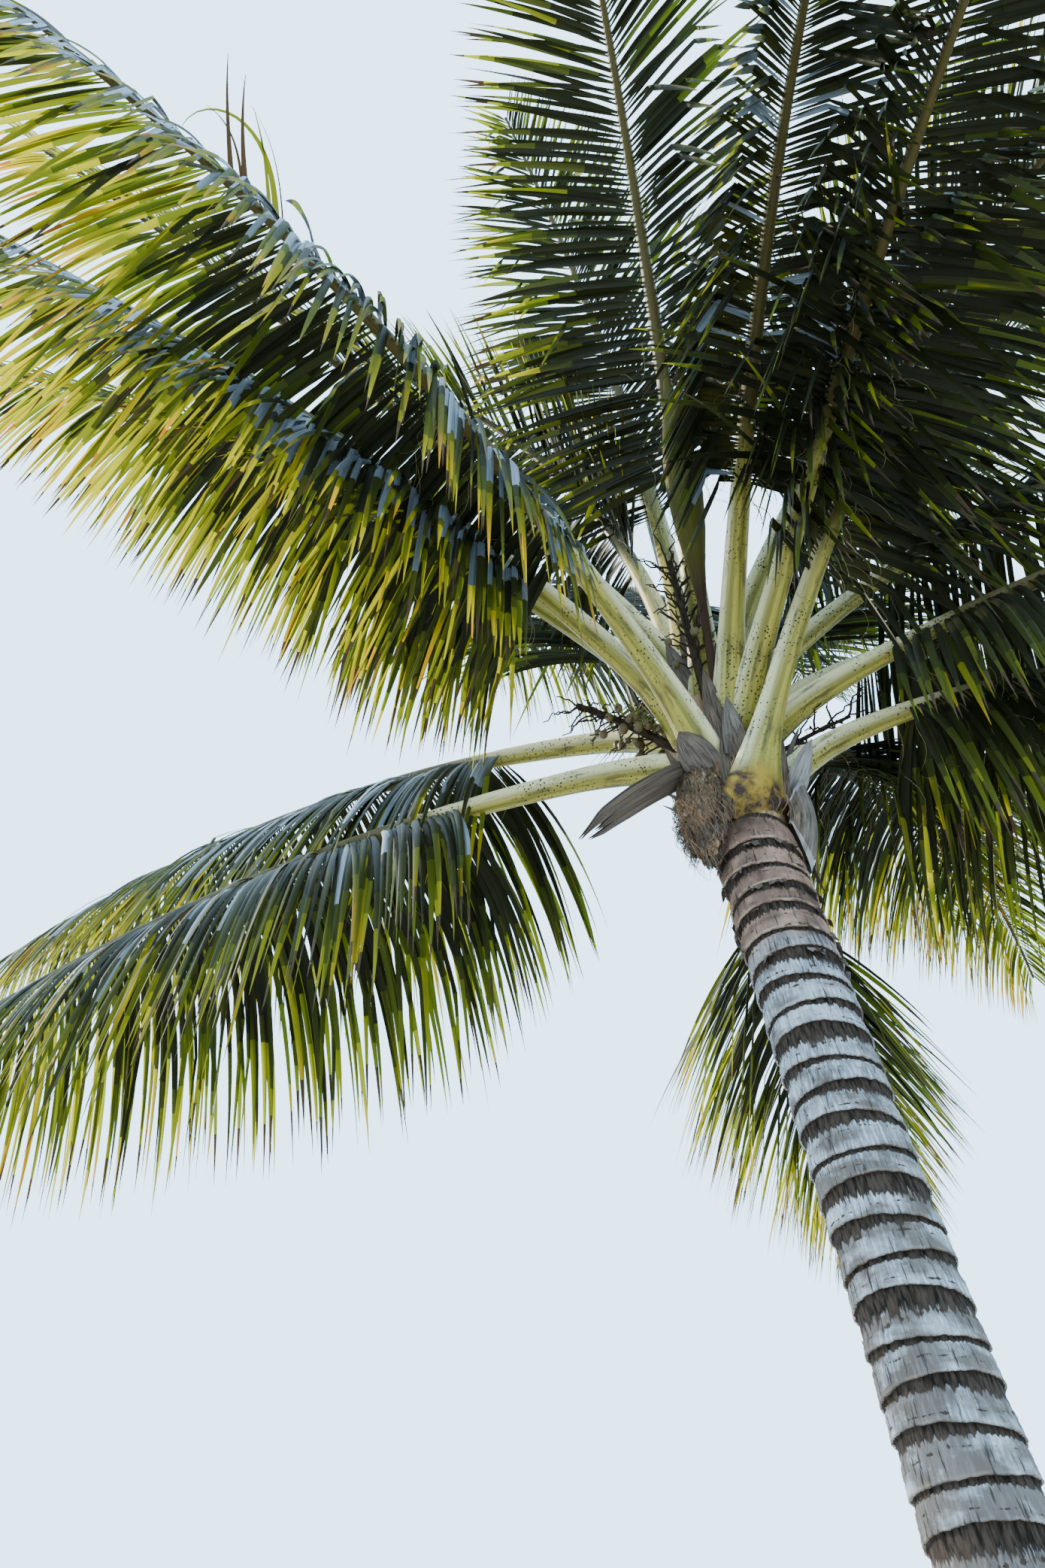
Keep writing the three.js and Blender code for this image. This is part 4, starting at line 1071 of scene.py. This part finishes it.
def make_strap():
    """Long dry strap of old sheath, dished along its length and split at its end."""
    steps = 26
    path = stalk_of(STRAP, steps)
    share = shares(steps + 1)
    forward = unit(np.gradient(path, axis=0))
    across = unit(np.cross(forward, UP))
    twist = radians(STRAP_TWIST)
    wide = across * np.cos(twist) + UP * np.sin(twist)
    wide = unit(wide - forward * np.sum(wide * forward, axis=1, keepdims=True))
    face = np.cross(wide, forward)
    half = STRAP_WIDTH / 2 * along(STRAP_SHAPE, share)
    skin = Skin()
    for low, high, end in STRAP_TAILS:
        keep = share <= end
        closing = np.clip((share[keep] - end + STRAP_SPLIT) / STRAP_SPLIT, 0, 1)
        columns = np.linspace(low, high, 7)
        centre = (low + high) / 2
        spread = centre + (columns[None, :] - centre) * (1 - 0.85 * closing[:, None])
        dish = STRAP_DISH * spread ** 2 + 0.002 * np.sin(9 * columns)[None, :]
        for sign in (1, -1):
            thick = face[keep][:, None] * (dish + sign * STRAP_HALF_THICK)[..., None]
            reach = wide[keep][:, None] * (spread * half[keep][:, None])[..., None]
            points = path[keep][:, None] + reach + thick
            skin.grid(points[:, ::sign])
    skin.piece("dry_strap_sheath", [SHEATH_DARK], "dry_sheath", ["dry_strap"])


def plate_at(plate, share, down):
    """Azimuth, height and radius on a sheet bent round the heart, at shares across and down it."""
    azimuth = blend(plate["start"], plate["end"], share)
    bulge = np.sin(np.pi * np.clip(share, 0.08, 0.92))
    top = plate["middle"] + (plate["top"] - plate["middle"]) * bulge
    bottom = plate["middle"] + (plate["bottom"] - plate["middle"]) * bulge
    upper = heart_radius(top) + 0.016 + plate["flare"] * bulge
    belly = plate["belly"] * bulge * np.sin(np.pi * down)
    return azimuth, blend(top, bottom, down), blend(upper, TRUNK_RADIUS + plate["stand"], down) + belly


def plate_points(plate, rows, columns):
    share, down = np.meshgrid(shares(columns), shares(rows))
    azimuth, h, radius = plate_at(plate, share, down)
    return beside_heart(azimuth, radius, h)


def make_fibre_mat():
    """Brown matted fibre on the left of the crown's foot, lumpy and frayed, with loose strands."""
    skin = Skin()
    rows, columns = 46, 80
    sheet = plate_points(FIBRE_MAT, rows, columns)
    lumps = sum(np.outer(wavering(rows, step), wavering(columns, step)) for step in (4, 7, 11))
    outward = on_circle(blend(FIBRE_MAT["start"], FIBRE_MAT["end"], shares(columns)))
    sheet += outward[None] * (0.012 * lumps)[..., None] + normal(0, 0.003, sheet.shape)
    fray = 0.05 * np.abs(wavering(columns, 2))
    sheet -= UP * (fray[None, :] * shares(rows)[:, None] ** 4)[..., None]
    skin.grid(sheet, kind=choice([0, 0, 0, 1], rows - 1))
    for _ in range(MAT_STRANDS):
        azimuth, h, radius = plate_at(FIBRE_MAT, uniform(0.02, 0.98), uniform(0, 0.98))
        start = beside_heart(azimuth, radius + 0.003, h)
        add_strand(skin, start, azimuth, uniform(0.03, 0.13), choice([0, 0, 0, 1, 2]))
    skin.piece("fibre_mat_strands", [FIBRE, SHEATH_DARK, SHEATH_GREY], "crown_fibre", ["fibre_mat"])


def make_boot():
    """Old grey leaf base on the right: dished, with painted shade in its hollow, a pale torn edge and a
    dry pointed tip."""
    skin = Skin()
    rows, columns = 30, 44
    sheet = plate_points(LEAF_BOOT, rows, columns)
    sheet += UP * (0.006 * wavering(columns, 2))[None, :, None]
    kinds = np.zeros((rows - 1, columns - 1), int)
    # painted shade: the first columns, in its hollow, take the dark sheath
    kinds[:, :9] = 2
    kinds[-3:] = 1
    kinds[:2] = 1
    skin.grid(sheet, kind=kinds)
    share = shares(12)
    outward = on_circle(BOOT_TIP["azimuth"])
    root = beside_heart(BOOT_TIP["azimuth"], BOOT_TIP["radius"], BOOT_TIP["h"])
    path = root + (outward * BOOT_TIP["lean"] - UP * BOOT_TIP["length"]) * share[:, None]
    half = BOOT_TIP["half"] * (1 - share ** 1.6) + 0.001
    cup = outward * (0.5 * half)[:, None]
    wide = np.cross(UP, outward) * half[:, None]
    skin.grid(np.stack([path - wide - cup, path, path + wide - cup], axis=1), kind=2)
    skin.piece("leaf_boot_bark", [SHEATH_GREY, SHEATH_PALE, SHEATH_DARK], "leaf_base", ["leaf_boot"])


# Stage

def make_floor():
    mesh = bpy.data.meshes.new("floor")
    corners = [(x * FLOOR_REACH, y * FLOOR_REACH, 0) for x, y in ((-1, -1), (1, -1), (1, 1), (-1, 1))]
    mesh.from_pydata(corners, [], [(0, 1, 2, 3)])
    mesh.materials.append(floor_surface())
    floor = linked("floor", mesh)
    floor.location.z = -FLOOR_DROP


def make_light():
    """Low soft key light from the left and a little behind, under a pale even sky."""
    world = bpy.data.worlds.new("studio")
    world.use_nodes = True
    background = world.node_tree.nodes["Background"]
    background.inputs["Color"].default_value = SKY_COLOUR
    background.inputs["Strength"].default_value = SKY_STRENGTH
    bpy.context.scene.world = world
    lamp = bpy.data.lights.new("key", "SUN")
    lamp.energy = KEY_STRENGTH
    lamp.angle = radians(KEY_SOFTNESS)
    lamp.color = KEY_COLOUR
    key = linked("key", lamp)
    key.rotation_mode = "QUATERNION"
    key.rotation_quaternion = Vector(aimed(KEY_AZIMUTH, KEY_HEIGHT)).to_track_quat("Z", "Y")


def make_camera():
    lens = bpy.data.cameras.new("camera")
    lens.lens = CAMERA_LENS
    lens.sensor_width = CAMERA_FRAME
    camera = linked("camera", lens)
    camera.location = CAMERA_PLACE
    camera.rotation_euler = (radians(90 + CAMERA_PITCH), 0, 0)
    bpy.context.scene.camera = camera


make_trunk()
make_heart()
fronds = read_fronds()
make_fronds(fronds)
make_threads(fronds)
make_standing(fronds)
make_spear()
make_spathe()
make_bunch("flower_bunch_twigs", FLOWER_BUNCH, "dry_flower", "flower_bunch")
make_bunch("fruit_bunch_nuts", FRUIT_BUNCH, "fruit", "fruit_bunch")
make_bunch("dry_twigs_fine", DRY_TWIGS, "dry_flower", "dry_twigs")
make_strap()
make_fibre_mat()
make_boot()
make_floor()
make_light()
make_camera()
